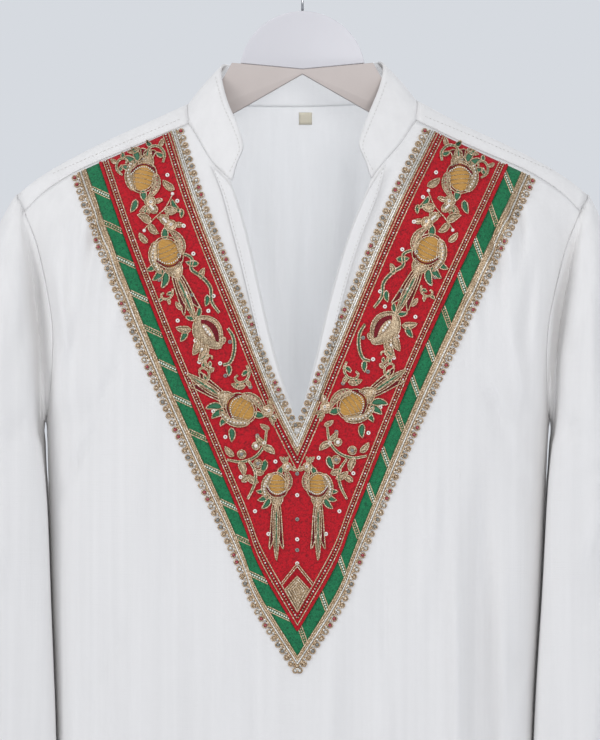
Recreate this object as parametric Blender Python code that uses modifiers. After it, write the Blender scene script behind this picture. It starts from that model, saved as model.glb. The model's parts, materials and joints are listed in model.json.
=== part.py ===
"""Long-sleeved kurta with an embroidered V yoke, hanging on a flat hanger.

The front faces -Y and +Z is up. The origin is the top of the inside of the
hook, where it rests on a rail. Constants are in metres and tables in millimetres.
"""
import math
from collections import namedtuple

import bmesh
import bpy
import numpy as np
from mathutils import Vector
from mathutils.bvhtree import BVHTree

COLLECTION = "kurta_on_hanger"
MM = 0.001

# Cloth and the gaps between the sewn pieces
CLOTH = 0.0013
COLLAR_CLOTH = 0.0017
TRIM_CLOTH = 0.0010
SEAM_GAP = 0.0003
SHOULDER_GAP = 0.0014
ARMHOLE_GAP = 0.0020
COLLAR_GAP = 0.0018

# Grid divisions
HALF_COLUMNS = 21
NECK_ROWS = 4
VEE_ROWS = 9
SKIRT_ROWS = 12
BACK_COLUMNS = 32
BACK_ROWS = 9
BACK_ROW_EASE = 1.25
COLLAR_COLUMNS = 36
COLLAR_ROWS = 3

# Body below the underarm: a rounded oblong section at each height
HEM_Z = -1.100
SLIT_TOP_Z = -0.840
SLIT_HALF_GAP = 0.007
SECTION_POWER = 3.2
# How fast the depth grows below the shoulders
QUICK_POWER = 1.7
VEE_FOOT = (-0.0041, -0.0570, -0.3846)
UNDERARM_Z = -389.4

Section = namedtuple("Section", "z right left front back")
BODY_SECTIONS = (
    Section(-389.4, 195.3, 187.8, 57, 52),
    Section(-430.0, 193.5, 185.5, 58, 53),
    Section(-510.0, 191.5, 182.5, 59, 53),
    Section(-600.0, 187.5, 176.0, 59, 53),
    Section(-700.0, 186.0, 174.0, 58, 52),
    Section(-820.0, 188.0, 179.0, 57, 51),
    Section(-950.0, 197.0, 194.0, 57, 51),
    Section(-1100.0, 207.0, 206.0, 58, 52),
)

# Vertical folds. Depth is outwards, x is at the top and lean is its change by the bottom
Fold = namedtuple("Fold", "x top bottom width depth lean")
FRONT_FOLDS = (
    Fold(-180, -196, -300, 5, 2.2, 6),
    Fold(-168, -235, -470, 9, -3.0, 10),
    Fold(-141, -440, -1090, 10, -6.0, -8),
    Fold(-126, -450, -1060, 9, 3.5, -8),
    Fold(-76, -500, -1090, 15, -5.0, -6),
    Fold(-34, -720, -1100, 14, 4.0, 0),
    Fold(43, -490, -1080, 9, -4.5, 4),
    Fold(58, -500, -1090, 10, 3.5, 6),
    Fold(117, -420, -1080, 10, 5.0, 2),
    Fold(138, -370, -1100, 12, -8.5, 6),
    Fold(156, -420, -1090, 10, 3.0, 8),
    Fold(174, -197, -310, 4, 2.2, -2),
)
BACK_FOLDS = (
    Fold(-128, -330, -1100, 12, -6.5, -8),
    Fold(-104, -420, -1080, 10, 4.0, -6),
    Fold(-62, -520, -1100, 15, -5.0, -4),
    Fold(-29, -190, -560, 10, 4.0, 0),
    Fold(6, -200, -420, 8, 3.0, 4),
    Fold(24, -230, -640, 11, 4.5, 6),
    Fold(74, -480, -1090, 14, -6.0, 6),
    Fold(122, -360, -1100, 11, -7.0, 8),
    Fold(146, -420, -1060, 10, 3.5, 8),
)

# Edges of the upper front, on the wearer's right, which is -X
Point = namedtuple("Point", "x y z")
SHOULDER_SEAM = (
    Point(-211.1, -11.5, -221.8),
    Point(-203.0, -12.0, -212.0),
    Point(-176.3, -12.5, -193.4),
    Point(-131.1, -14.0, -173.8),
    Point(-87.4, -17.0, -155.5),
)
SHOULDER_RIDGE = (
    Point(-217.5, 0, -209.0),
    Point(-210.0, 0, -202.0),
    Point(-193.0, 0, -190.6),
    Point(-154.8, 0, -170.4),
    Point(-120.0, 0, -154.6),
    Point(-88.5, 0, -140.2),
)
ARMHOLE_FRONT = (
    Point(-211.1, -11.5, -221.8),
    Point(-200.5, -22.0, -248.7),
    Point(-193.1, -30.0, -279.3),
    Point(-187.8, -34.0, -310.0),
    Point(-188.0, -32.0, -337.0),
    Point(-190.8, -22.0, -366.0),
    Point(-195.3, 0.0, -389.4),
)
ARMHOLE_BACK = (
    Point(-217.5, 0.0, -209.0),
    Point(-213.0, 12.0, -224.0),
    Point(-206.5, 25.0, -252.0),
    Point(-202.5, 32.0, -285.0),
    Point(-200.5, 33.0, -320.0),
    Point(-199.0, 26.0, -355.0),
    Point(-195.3, 0.0, -389.4),
)
# The underarm on the wearer's left is drawn in by this much
LEFT_SIDE_PULL = 0.0075

# Seam between collar and body, from the shoulder seam to the front, on each side
NECK_SEAM_RIGHT = (
    Point(-87.4, -17.0, -155.5),
    Point(-81.5, -26.0, -165.2),
    Point(-75.6, -34.0, -176.2),
    Point(-69.0, -42.0, -188.0),
    Point(-53.1, -50.0, -202.2),
)
NECK_SEAM_LEFT = (
    Point(87.0, -17.0, -153.0),
    Point(82.0, -24.5, -161.9),
    Point(75.1, -33.0, -172.8),
    Point(64.0, -41.5, -185.0),
    Point(51.5, -49.0, -200.5),
)
NECK_SEAM_BACK = (
    Point(-88.5, 0.0, -140.2),
    Point(-80.0, 24.0, -139.6),
    Point(-45.0, 42.0, -139.6),
    Point(0.0, 47.0, -139.7),
    Point(45.0, 42.0, -138.6),
    Point(80.0, 24.0, -137.6),
    Point(88.5, 0.0, -137.4),
)
BACK_CENTRE = (
    Point(0.0, 47.0, -139.7),
    Point(0.0, 51.0, -158.0),
    Point(-0.5, 54.0, -200.0),
    Point(-1.5, 54.5, -260.0),
    Point(-3.0, 53.0, -330.0),
    Point(-4.1, 52.0, -389.4),
)
VEE_RIGHT = (
    Point(-53.1, -50.0, -202.2),
    Point(-41.4, -53.0, -240.1),
    Point(-33.4, -55.0, -276.1),
    Point(-26.2, -56.0, -308.3),
    Point(-19.1, -57.0, -336.8),
    Point(-10.9, -57.0, -362.2),
    Point(-4.1, -57.0, -384.6),
)
VEE_LEFT = (
    Point(51.5, -49.0, -200.5),
    Point(33.5, -53.0, -244.6),
    Point(24.3, -55.0, -276.0),
    Point(17.1, -56.0, -302.3),
    Point(9.8, -57.0, -335.3),
    Point(2.6, -57.0, -362.0),
    Point(-4.1, -57.0, -384.6),
)

# Free edge of the stand collar, from the wearer's right front round the back
COLLAR_TOP = (
    Point(-43.7, -44.0, -175.8),
    Point(-48.7, -33.0, -158.4),
    Point(-55.7, -21.0, -142.8),
    Point(-61.6, -9.0, -122.7),
    Point(-62.5, 6.0, -109.5),
    Point(-51.0, 28.0, -108.8),
    Point(-27.0, 40.0, -110.5),
    Point(0.0, 43.0, -111.5),
    Point(27.0, 40.0, -110.0),
    Point(51.0, 28.0, -107.2),
    Point(62.4, 6.0, -107.6),
    Point(59.4, -9.0, -125.5),
    Point(52.7, -21.0, -142.6),
    Point(47.2, -30.0, -156.1),
    Point(41.7, -42.0, -174.1),
)
COLLAR_BULGE = 0.0025

# Sleeves, a row for each section below the shoulder point. Edge is the front fold that
# faces the body, and the valley is the hollow between it and the armhole seam
Sleeve = namedtuple("Sleeve", "z edge_right edge_left edge_y valley_y face_y outer rise back_y")
SLEEVE_ROWS = (
    Sleeve(-233, 214.0, 212.5, -20, -17, -17, 228, 10, 17),
    Sleeve(-249, 213.0, 210.3, -29, -18, -27, 236, 9, 26),
    Sleeve(-279, 211.6, 207.0, -37, -17, -37, 246, 7, 35),
    Sleeve(-309, 209.3, 202.4, -41, -16, -43, 256, 5, 40),
    Sleeve(-337, 207.1, 198.0, -44, -18, -47, 264, 4, 43),
    Sleeve(-366, 204.8, 196.6, -45, -22, -49, 271, 2, 45),
    Sleeve(-389.4, 203.0, 193.4, -44, -19, -49, 277, 0, 45),
    Sleeve(-426, 200.6, 190.0, -43, -20, -47, 284, 0, 44),
    Sleeve(-487, 197.8, 187.6, -40, -18, -44, 290, 0, 41),
    Sleeve(-555, 195.7, 182.8, -36, -16, -41, 292, 0, 38),
    Sleeve(-622, 191.5, 178.8, -33, -15, -38, 292, 0, 35),
    Sleeve(-690, 191.0, 178.5, -30, -14, -34, 291, 0, 32),
    Sleeve(-752, 193.0, 181.5, -26, -12, -30, 289, 0, 27),
    Sleeve(-815, 197.0, 186.0, -21, -9, -25, 286, 0, 22),
)
OPEN_SLEEVE_ROWS = 7
# Segments from seam to valley, edge, face, outer line, back face, back edge and seam
SLEEVE_SPANS = (3, 3, 3, 4, 4, 3, 4)

# Yoke trims seen from the front. Each line runs from the shoulder to its foot on the centre
Line = namedtuple("Line", "x z")
OUTER_TIPS_RIGHT = (Line(-176.1, -196.4), Line(-141.0, -288.0), Line(-102.5, -378.0),
                    Line(-51.8, -485.5), Line(-35.5, -525.0), Line(-3.8, -573.3))
INNER_TIPS_RIGHT = (Line(-89.6, -158.6), Line(-70.9, -216.0), Line(-42.5, -288.0),
                    Line(-25.0, -333.0), Line(-4.0, -378.0))
OUTER_TIPS_LEFT = (Line(178.0, -199.0), Line(135.5, -288.0), Line(92.3, -378.0),
                   Line(45.4, -485.5), Line(28.5, -525.0), Line(-3.8, -573.3))
INNER_TIPS_LEFT = (Line(90.4, -158.6), Line(62.0, -216.0), Line(31.8, -288.0),
                   Line(13.0, -333.0), Line(-4.0, -378.0))
# Share of the arm's width, from the outer tips, at the shoulder and at the centre
Band = namedtuple("Band", "top foot")
OUTER_TIP = Band(0.0, 0.0)
SCALLOP_ROOT = Band(0.040, 0.022)
OUTER_LACE = Band(0.140, 0.084)
GREEN = Band(0.250, 0.174)
RED = Band(0.875, 0.856)
INNER_ROOT = Band(0.965, 0.955)
INNER_TIP = Band(1.0, 1.0)
CENTRE_X = -0.0040
ARM_STEPS = 26
OUTER_SCALLOPS = 60
INNER_SCALLOPS = 34
MITRE_GAP = 0.0003
BAND_LIFT = 0.0012
PLACKET_LIFT = 0.0015
LACE_LIFT = 0.0029

# Facing strips beside the neck opening, outer edge seen from the front
PLACKET_OUTER_RIGHT = (Line(-68.6, -190.4), Line(-60.5, -209.0), Line(-54.5, -232.0),
                       Line(-46.5, -262.0), Line(-37.5, -300.0), Line(-28.5, -338.0),
                       Line(-22.0, -366.0))
PLACKET_OUTER_LEFT = (Line(62.4, -189.6), Line(56.5, -212.0), Line(46.0, -238.0),
                      Line(37.0, -264.0), Line(28.5, -296.0), Line(18.5, -338.0),
                      Line(12.0, -366.0))
PLACKET_END_Z = -0.366
PLACKET_STEPS = 14
PLACKET_INSET = 0.0012

# Hanger
HANGER_THICKNESS = 0.006
HEAD_THICKNESS = 0.005
HEAD_CENTRE_Z = -0.1175
HEAD_RADIUS = 0.0482
HEAD_SEGMENTS = 40
BOARD_HALF = (Line(0.0, -113.8), Line(-53.9, -108.8), Line(-60.8, -121.0), Line(-84.0, -145.5),
              Line(-94.0, -147.5), Line(-120.0, -158.0), Line(-154.8, -173.8),
              Line(-190.0, -192.4), Line(-201.0, -199.6), Line(-204.0, -207.0),
              Line(-201.0, -215.0), Line(-192.0, -219.0), Line(-49.3, -145.6), Line(0.0, -117.4))
# Where the cloth lies flat over the top of the hanger
OVER_HALF = 0.0037
OVER_DROP = 0.0009
HOOK_WIRE = 0.0012
HOOK_RADIUS = 0.0220
STEM_TOP_Z = -0.0500
HOOK_STEPS = 18

LABEL_X = (-0.0027, 0.0074)
LABEL_Z = (-0.1432, -0.1525)
LABEL_CLOTH = 0.0008

Finish = namedtuple("Finish", "color roughness metallic")
FINISHES = {
    "white_cotton": Finish((0.80, 0.80, 0.82), 0.9, 0.0),
    "red_silk": Finish((0.47, 0.012, 0.022), 0.7, 0.0),
    "green_silk": Finish((0.015, 0.18, 0.09), 0.7, 0.0),
    "gold_lace": Finish((0.45, 0.33, 0.19), 0.45, 0.6),
    "label_tape": Finish((0.72, 0.66, 0.50), 0.85, 0.0),
    "beige_board": Finish((0.53, 0.46, 0.43), 0.6, 0.0),
    "pale_plastic": Finish((0.68, 0.67, 0.70), 0.5, 0.0),
    "steel_wire": Finish((0.55, 0.55, 0.56), 0.3, 1.0),
}


# Curves and tables

def metres(points):
    """Rows of a millimetre table as an array in metres."""
    return np.array(points, dtype=float) * MM


def spline(points, places):
    """Centripetal curve through the points, read at places counted in control points."""
    points = np.asarray(points, dtype=float)
    before = 2 * points[0] - points[1]
    after = 2 * points[-1] - points[-2]
    control = np.vstack([before, points, after])
    result = []
    for place in places:
        index = min(int(place), len(points) - 2)
        p0, p1, p2, p3 = control[index:index + 4]
        knots = [0.0]
        for a, b in ((p0, p1), (p1, p2), (p2, p3)):
            knots.append(knots[-1] + max(np.linalg.norm(b - a), 1e-9) ** 0.5)
        t = knots[1] + (place - index) * (knots[2] - knots[1])

        def blend(a, b, ka, kb):
            return a * (kb - t) / (kb - ka) + b * (t - ka) / (kb - ka)

        a1 = blend(p0, p1, knots[0], knots[1])
        a2 = blend(p1, p2, knots[1], knots[2])
        a3 = blend(p2, p3, knots[2], knots[3])
        b1 = blend(a1, a2, knots[0], knots[2])
        b2 = blend(a2, a3, knots[1], knots[3])
        result.append(blend(b1, b2, knots[1], knots[2]))
    return np.array(result)


def even(points, count, ease=1.0):
    """The smooth curve through the points, cut into count lengths, equal unless eased."""
    fine = spline(points, np.linspace(0, len(points) - 1, 40 * (len(points) - 1) + 1))
    steps = np.linalg.norm(np.diff(fine, axis=0), axis=1)
    length = np.concatenate([[0.0], np.cumsum(steps)])
    wanted = length[-1] * np.linspace(0, 1, count + 1) ** ease
    return np.column_stack([np.interp(wanted, length, fine[:, k]) for k in range(fine.shape[1])])


def column(table, name, z):
    """A table's column, read smoothly at height z."""
    heights = [row.z for row in table]
    place = np.interp(-z, [-h for h in heights], range(len(heights)))
    values = np.array([[getattr(row, name)] for row in table], dtype=float)
    return float(spline(values, [place])[0][0])


def smoothstep(value, start, end):
    t = min(max((value - start) / (end - start), 0.0), 1.0)
    return t * t * (3 - 2 * t)


def left_side(points):
    """The table of the wearer's right edges, mirrored and drawn in towards the underarm."""
    points = np.array(points, dtype=float)
    top = -209.0
    pull = (LEFT_SIDE_PULL / MM) * np.clip((top - points[:, 2]) / (top - UNDERARM_Z), 0, 1) ** 1.5
    points[:, 0] = -points[:, 0] - pull
    return points


def fold_depth(folds, x, z):
    """Outward displacement of the folds at a place seen from the front, in metres."""
    total = 0.0
    for fold in folds:
        along = (fold.top - z / MM) / (fold.top - fold.bottom)
        if along <= 0.0:
            continue
        fade = smoothstep(along, 0.0, 0.22)
        if fold.bottom > HEM_Z / MM + 60:
            fade *= 1.0 - smoothstep(along, 0.75, 1.0)
        centre = fold.x + fold.lean * min(along, 1.0)
        total += fold.depth * fade * math.exp(-((x / MM - centre) / fold.width) ** 2)
    return total * MM


# Body surfaces

def half_section(side, face, z):
    """Section of one half at height z, from the side seam to the centre."""
    width = column(BODY_SECTIONS, "right" if side < 0 else "left", z / MM) * MM
    depth = column(BODY_SECTIONS, "front" if face < 0 else "back", z / MM) * MM
    gap = SEAM_GAP / 2 + SLIT_HALF_GAP * smoothstep(-z, -SLIT_TOP_Z, -HEM_Z)
    points = []
    for step in range(161):
        angle = step / 160 * math.pi / 2
        across = math.cos(angle) ** (2 / SECTION_POWER)
        out = math.sin(angle) ** (2 / SECTION_POWER)
        x = VEE_FOOT[0] + (side * width - VEE_FOOT[0]) * across
        points.append((x, face * (gap + (depth - gap) * out), z))
    steps = np.linalg.norm(np.diff(points, axis=0), axis=1)
    length = np.concatenate([[0.0], np.cumsum(steps)])
    wanted = np.linspace(0, length[-1], HALF_COLUMNS + 1)
    points = np.array(points)
    return np.column_stack([np.interp(wanted, length, points[:, k]) for k in range(3)])


def upper_patch(top, bottom, outer, inner, ease=1.0):
    """Patch of the upper body inside its four edges, with rows from the armhole to the centre.

    Its depth grows fast below the shoulder, and each row's depth is fitted to both its ends.
    """
    count = len(outer) - 1
    across = np.linspace(0, 1, len(top))[:, None]
    rows = []
    for j in range(count + 1):
        v = (j / count) ** ease
        row = (1 - v) * top + v * bottom
        row = row + (1 - across) * (outer[j] - row[0]) + across * (inner[j] - row[-1])
        quick = 1 - (1 - v) ** QUICK_POWER
        depth = (1 - quick) * top[:, 1] + quick * bottom[:, 1]
        fit = (inner[j][1] - outer[j][1]) / (depth[-1] - depth[0])
        row[:, 1] = outer[j][1] + (depth - depth[0]) * fit
        rows.append(row)
    return np.array(rows)


def add_folds(rows, folds, face):
    """Moves a body panel's points out or in by its folds, except right at the side seams."""
    for row in rows:
        for point in row:
            turn = smoothstep(abs(point[1]), 0.018, 0.040)
            point[1] += face * fold_depth(folds, point[0], point[2]) * turn
    return rows


def underarm_row(side, face):
    """The body section at the underarm, rising to the foot of the neck opening at the centre."""
    row = half_section(side, face, UNDERARM_Z * MM)
    rise = VEE_FOOT[2] - UNDERARM_Z * MM
    row[:, 2] += rise * np.linspace(0, 1, len(row)) ** 2
    return row


def skirt_rows(side, face):
    """The body below the underarm, a row for each height, from the side seam to the centre."""
    rows = [underarm_row(side, face)]
    for j in range(1, SKIRT_ROWS + 1):
        share = j / SKIRT_ROWS
        level = UNDERARM_Z * MM + (HEM_Z - UNDERARM_Z * MM) * share
        rows.append(half_section(side, face, level))
    return np.array(rows)


def front_upper(side):
    """Upper front of one side, from the shoulder seam to the underarm."""
    if side < 0:
        top, armhole, neck, vee = SHOULDER_SEAM, ARMHOLE_FRONT, NECK_SEAM_RIGHT, VEE_RIGHT
    else:
        top = left_side(SHOULDER_SEAM)
        top[-1] = NECK_SEAM_LEFT[0]
        armhole, neck, vee = left_side(ARMHOLE_FRONT), NECK_SEAM_LEFT, VEE_LEFT
    top = even(metres(top), HALF_COLUMNS)
    outer = even(metres(armhole), NECK_ROWS + VEE_ROWS)
    inner = np.vstack([even(metres(neck), NECK_ROWS)[:-1], even(metres(vee), VEE_ROWS)])
    bottom = underarm_row(side, -1)
    outer[-1] = bottom[0]
    rows = upper_patch(top, bottom, outer, inner)
    drop = np.array([0, 0, -SHOULDER_GAP])
    rows[0] += drop
    return rows


# Blender helpers

def new_material(name, finish):
    material = bpy.data.materials.new(name)
    material.use_nodes = True
    shader = material.node_tree.nodes["Principled BSDF"]
    shader.inputs["Base Color"].default_value = (*finish.color, 1.0)
    shader.inputs["Roughness"].default_value = finish.roughness
    shader.inputs["Metallic"].default_value = finish.metallic
    return material


def add_grid(bm, rows):
    """A create_grid sheet whose vertices are moved to the given rows of points."""
    rows = np.asarray(rows)
    down, across = rows.shape[0] - 1, rows.shape[1] - 1
    made = bmesh.ops.create_grid(bm, x_segments=across, y_segments=down, size=1.0)
    for vert in made["verts"]:
        i = round((vert.co.x + 1) / 2 * across)
        j = round((1 - vert.co.y) / 2 * down)
        vert.co = rows[j][i]


def sheet_object(name, patches, finish, thickness, toward, offset=-1.0, spare=()):
    """Patches welded into one open sheet, then given a wall by Solidify.

    toward is a function that gives the outward direction at a point, and spare lists
    places on a straight edge whose vertices the sheet can do without.
    """
    bm = bmesh.new()
    for rows in patches:
        add_grid(bm, rows)
    bmesh.ops.remove_doubles(bm, verts=bm.verts, dist=0.00001)
    bmesh.ops.dissolve_degenerate(bm, edges=bm.edges, dist=0.00001)
    places = {tuple(round(c, 6) for c in place) for place in spare}
    extra = [v for v in bm.verts if tuple(round(c, 6) for c in v.co) in places]
    bmesh.ops.dissolve_verts(bm, verts=extra)
    bmesh.ops.recalc_face_normals(bm, faces=bm.faces)
    agree = sum(face.normal.dot(toward(face.calc_center_median())) * face.calc_area()
                for face in bm.faces)
    if agree < 0:
        bmesh.ops.reverse_faces(bm, faces=bm.faces)
    mesh = bpy.data.meshes.new(name)
    bm.to_mesh(mesh)
    bm.free()
    obj = link(name, mesh, finish)
    wall = obj.modifiers.new("wall", "SOLIDIFY")
    wall.thickness = thickness
    wall.offset = offset
    wall.use_quality_normals = True
    return obj


def link(name, data, finish):
    obj = bpy.data.objects.new(name, data)
    data.materials.append(bpy.data.materials[finish])
    bpy.data.collections[COLLECTION].objects.link(obj)
    return obj


def from_front(_point):
    return Vector((0, -1, 0))


def surface_of(obj):
    """Search tree over an object's evaluated mesh."""
    bpy.context.view_layer.update()
    return BVHTree.FromObject(obj, bpy.context.evaluated_depsgraph_get())


def lay_on(tree, places, lift):
    """Rows of (x, z) places moved onto the surface seen from the front, then out by lift.

    A place that hangs over the neck opening takes the depth of the last place in its row.
    """
    rows = []
    for row in places:
        points = []
        for x, z in reversed(row):
            hit, normal, _, _ = tree.ray_cast(Vector((x, -1.0, z)), Vector((0, 1, 0)))
            if hit is None:
                points.append(Vector((x, points[-1].y, z)))
            else:
                points.append(hit + (normal if normal.y < 0 else -normal) * lift)
        rows.append(points[::-1])
    return np.array(rows)


# Cloth pieces

def make_front():
    patches = []
    for side in (-1, 1):
        patches.append(add_folds(front_upper(side), FRONT_FOLDS, -1))
        patches.append(add_folds(skirt_rows(side, -1), FRONT_FOLDS, -1))
    return sheet_object("front_panel", patches, "white_cotton", CLOTH, from_front)


def back_top_edge():
    """Ridge, back neck seam and other ridge, with the columns shared out between them."""
    shoulder = BACK_COLUMNS // 4
    ridge = even(metres(SHOULDER_RIDGE), shoulder)
    neck = even(metres(NECK_SEAM_BACK), BACK_COLUMNS - 2 * shoulder)
    other = even(metres(left_ridge()), shoulder)[::-1]
    return np.vstack([ridge[:-1], neck, other[1:]]), ridge, other[::-1]


def left_ridge():
    ridge = left_side(SHOULDER_RIDGE)
    ridge[-1] = NECK_SEAM_BACK[-1]
    return ridge


def make_back():
    top, ridge_right, ridge_left = back_top_edge()
    half = BACK_COLUMNS // 2
    centre = even(metres(BACK_CENTRE), BACK_ROWS, BACK_ROW_EASE)
    patches = []
    for side, edge in ((-1, top[:half + 1]), (1, top[half:][::-1])):
        armhole = ARMHOLE_BACK if side < 0 else left_side(ARMHOLE_BACK)
        lower = np.array([resample_row(row, half) for row in skirt_rows(side, 1)])
        lower[0][:, 2] = UNDERARM_Z * MM
        outer = even(metres(armhole), BACK_ROWS, BACK_ROW_EASE)
        outer[-1] = lower[0][0]
        inner = centre.copy()
        inner[-1] = lower[0][-1]
        upper = upper_patch(edge, lower[0], outer, inner, BACK_ROW_EASE)
        upper = np.vstack([upper[:1], over_the_board(edge, 1)[None], upper[1:]])
        patches.append(add_folds(upper, BACK_FOLDS, 1))
        patches.append(add_folds(lower, BACK_FOLDS, 1))
    for ridge, seam in ((ridge_right, SHOULDER_SEAM), (ridge_left, left_front_seam())):
        patches.append(shoulder_flap(ridge, even(metres(seam), len(ridge) - 1)))
    return sheet_object("back_panel", patches, "white_cotton", CLOTH, back_outward)


def left_front_seam():
    seam = left_side(SHOULDER_SEAM)
    seam[-1] = NECK_SEAM_LEFT[0]
    return seam


def resample_row(row, count):
    """A row of points cut again into count equal steps."""
    places = np.linspace(0, len(row) - 1, count + 1)
    return np.column_stack([np.interp(places, range(len(row)), row[:, k]) for k in range(3)])


def over_the_board(ridge, face):
    """Row beside the ridge, where the cloth starts to turn down from the hanger's top edge."""
    row = ridge.copy()
    on_board = np.array([1.0 - smoothstep(abs(y), 0.0, 0.010) for y in ridge[:, 1]])
    row[:, 1] += face * (OVER_HALF * on_board + 0.0004 * (1 - on_board))
    row[:, 2] -= OVER_DROP * on_board + 0.0025 * (1 - on_board)
    return row


def shoulder_flap(ridge, seam):
    """The strip of the back that comes over the shoulder to the front seam."""
    over = over_the_board(ridge, -1)
    return np.array([seam, (over + seam) / 2 + (0, -0.0006, 0.0006), over, ridge])


def back_outward(point):
    if point.y < 0.002:
        return Vector((0, -0.6, 0.8))
    return Vector((0, 1, 0))


def sleeve_controls(side, row, front_seam, back_seam, is_open):
    """Control points of one sleeve section, from the front seam round to the back seam."""
    edge = row.edge_right if side < 0 else row.edge_left
    outer = row.outer - (row.edge_right - edge)
    gap = ARMHOLE_GAP / MM
    face = (edge + outer) / 2
    if is_open:
        seam = (abs(front_seam[0]) + gap, front_seam[1], front_seam[2])
        back = (abs(back_seam[0]) + gap, back_seam[1], back_seam[2])
        valley_x = seam[0] + 0.55 * (edge - seam[0])
        valley = (valley_x, row.valley_y, row.z)
        back_edge = (back[0] + 0.3 * (face - back[0]), (back[1] + row.back_y) / 2 + 2, row.z)
    else:
        seam = (edge, 0, row.z)
        back = seam
        valley = (edge - 0.5, row.valley_y, row.z)
        back_edge = (edge + 3, row.back_y * 0.8, row.z)
    high = row.z + row.rise
    points = [
        seam,
        valley,
        (edge, row.edge_y, row.z),
        (face, row.face_y, row.z + row.rise / 2),
        (outer, 0, high),
        (face + 3, row.back_y, row.z + row.rise / 2),
        back_edge,
        back,
    ]
    return np.array([(side * x, y, z) for x, y, z in points])


def seam_at(table, z):
    """Point on an armhole table at height z, in millimetres."""
    table = np.array(table, dtype=float)
    place = np.interp(-z, -table[:, 2], range(len(table)))
    return spline(table, [place])[0]


def sleeve_row(points):
    """One section with its segments shared out between the control points."""
    places = [0.0]
    for index, count in enumerate(SLEEVE_SPANS):
        places.extend(index + (k + 1) / count for k in range(count))
    return spline(points, places)


def make_sleeve(name, side):
    front = ARMHOLE_FRONT if side < 0 else left_side(ARMHOLE_FRONT)
    back = ARMHOLE_BACK if side < 0 else left_side(ARMHOLE_BACK)
    tip = np.array(back[0], dtype=float)
    arc = np.array([front[0], (tip + front[0]) / 2 + (side * 1.0, -1.5, 1.5), tip, back[1]], dtype=float)
    arc[:, 0] += side * ARMHOLE_GAP / MM
    rows = [even(arc, sum(SLEEVE_SPANS))]
    for index, row in enumerate(SLEEVE_ROWS):
        is_open = index < OPEN_SLEEVE_ROWS
        front_seam = seam_at(front, row.z)
        back_seam = seam_at(back, row.z)
        rows.append(sleeve_row(sleeve_controls(side, row, front_seam, back_seam, is_open)))
    rows = np.array(rows) * MM
    middle = np.array([rows[:, :, k].mean(axis=1) for k in range(3)]).T

    def outward(point):
        centre = middle[np.argmin(abs(middle[:, 2] - point.z))]
        return Vector((point.x - centre[0], point.y - centre[1], 0))

    return sheet_object(name, [rows], "white_cotton", CLOTH, outward)


def make_collar():
    """Stand collar, from one front end round the back of the neck to the other."""
    seam = np.vstack([metres(NECK_SEAM_RIGHT[::-1]), metres(NECK_SEAM_BACK), metres(NECK_SEAM_LEFT)])
    base = even(seam, COLLAR_COLUMNS)
    top = even(metres(COLLAR_TOP), COLLAR_COLUMNS)
    rows = []
    for j in range(COLLAR_ROWS + 1):
        v = j / COLLAR_ROWS
        row = []
        for low, high in zip(base, top):
            rise = high - low
            start = low + rise / np.linalg.norm(rise) * COLLAR_GAP
            outward = np.array([low[0], low[1], 0]) / np.linalg.norm(low[:2])
            row.append(start + (high - start) * v + outward * COLLAR_BULGE * math.sin(math.pi * v))
        rows.append(row)

    def outward_at(point):
        return Vector((point.x, point.y, 0))

    return sheet_object("collar", [np.array(rows)], "white_cotton", COLLAR_CLOTH, outward_at)


# Trims laid on the front

def make_placket(name, side, tree):
    vee = VEE_RIGHT if side < 0 else VEE_LEFT
    outer = PLACKET_OUTER_RIGHT if side < 0 else PLACKET_OUTER_LEFT
    inner = even([(p.x * MM + side * PLACKET_INSET, p.z * MM) for p in vee], 80)
    inner = even(inner[inner[:, 1] > PLACKET_END_Z], PLACKET_STEPS)
    inner[0][1] -= 0.0020
    edge = even(metres(outer), PLACKET_STEPS)
    places = [[tuple(a), tuple((a + b) / 2), tuple(b)] for a, b in zip(inner, edge)]
    rows = lay_on(tree, places, PLACKET_LIFT)
    return sheet_object(name, [rows], "white_cotton", TRIM_CLOTH, from_front, offset=1.0)


def arm_lines(side):
    if side < 0:
        return metres(OUTER_TIPS_RIGHT), metres(INNER_TIPS_RIGHT)
    return metres(OUTER_TIPS_LEFT), metres(INNER_TIPS_LEFT)


def band_line(side, band, steps):
    """A band's edge as (x, z) places, from the shoulder to the centre line."""
    outer, inner = arm_lines(side)
    outer = even(outer, steps)
    inner = even(inner, steps)
    share = np.linspace(band.top, band.foot, steps + 1)[:, None]
    line = outer + (inner - outer) * share
    line[-1, 0] = CENTRE_X
    return line


def between(first, second, columns):
    """Rows of places from one line to another."""
    shares = np.linspace(0, 1, columns + 1)
    return [[tuple(a + (b - a) * s) for s in shares] for a, b in zip(first, second)]


def make_vee_band(name, finish, outer, inner, columns, tree):
    """A band that runs down both arms of the yoke and meets at the centre, as one piece."""
    patches = []
    for side in (-1, 1):
        places = between(band_line(side, outer, ARM_STEPS), band_line(side, inner, ARM_STEPS), columns)
        patches.append(lay_on(tree, inset_edges(places, MITRE_GAP), BAND_LIFT))
    return sheet_object(name, patches, finish, TRIM_CLOTH, from_front, offset=1.0)


def inset_edges(places, gap):
    """Draws both long edges of a band in by half the gap between bands."""
    result = []
    for row in places:
        row = [np.array(p) for p in row]
        across = row[-1] - row[0]
        across = across / np.linalg.norm(across)
        row[0] = row[0] + across * gap
        row[-1] = row[-1] - across * gap
        result.append([tuple(p) for p in row])
    return result


def make_lace(name, side, tip, root, base, scallops, lift, tree):
    """Lace with a scalloped edge: three segments round each scallop."""
    steps = scallops * 3
    tips = band_line(side, tip, steps)
    roots = band_line(side, root, steps)
    bases = band_line(side, base, steps)
    places = []
    for index, (a, b, c) in enumerate(zip(tips, roots, bases)):
        edge = b if index % 3 == 0 else a
        places.append([tuple(edge), tuple(c)])
    places = stop_short(inset_edges(places, MITRE_GAP), side)
    rows = lay_on(tree, places, lift)
    spare = [tuple(rows[i][1]) for i in range(len(rows)) if i % 3]
    return sheet_object(name, [rows], "gold_lace", TRIM_CLOTH, from_front, offset=1.0, spare=spare)


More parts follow.
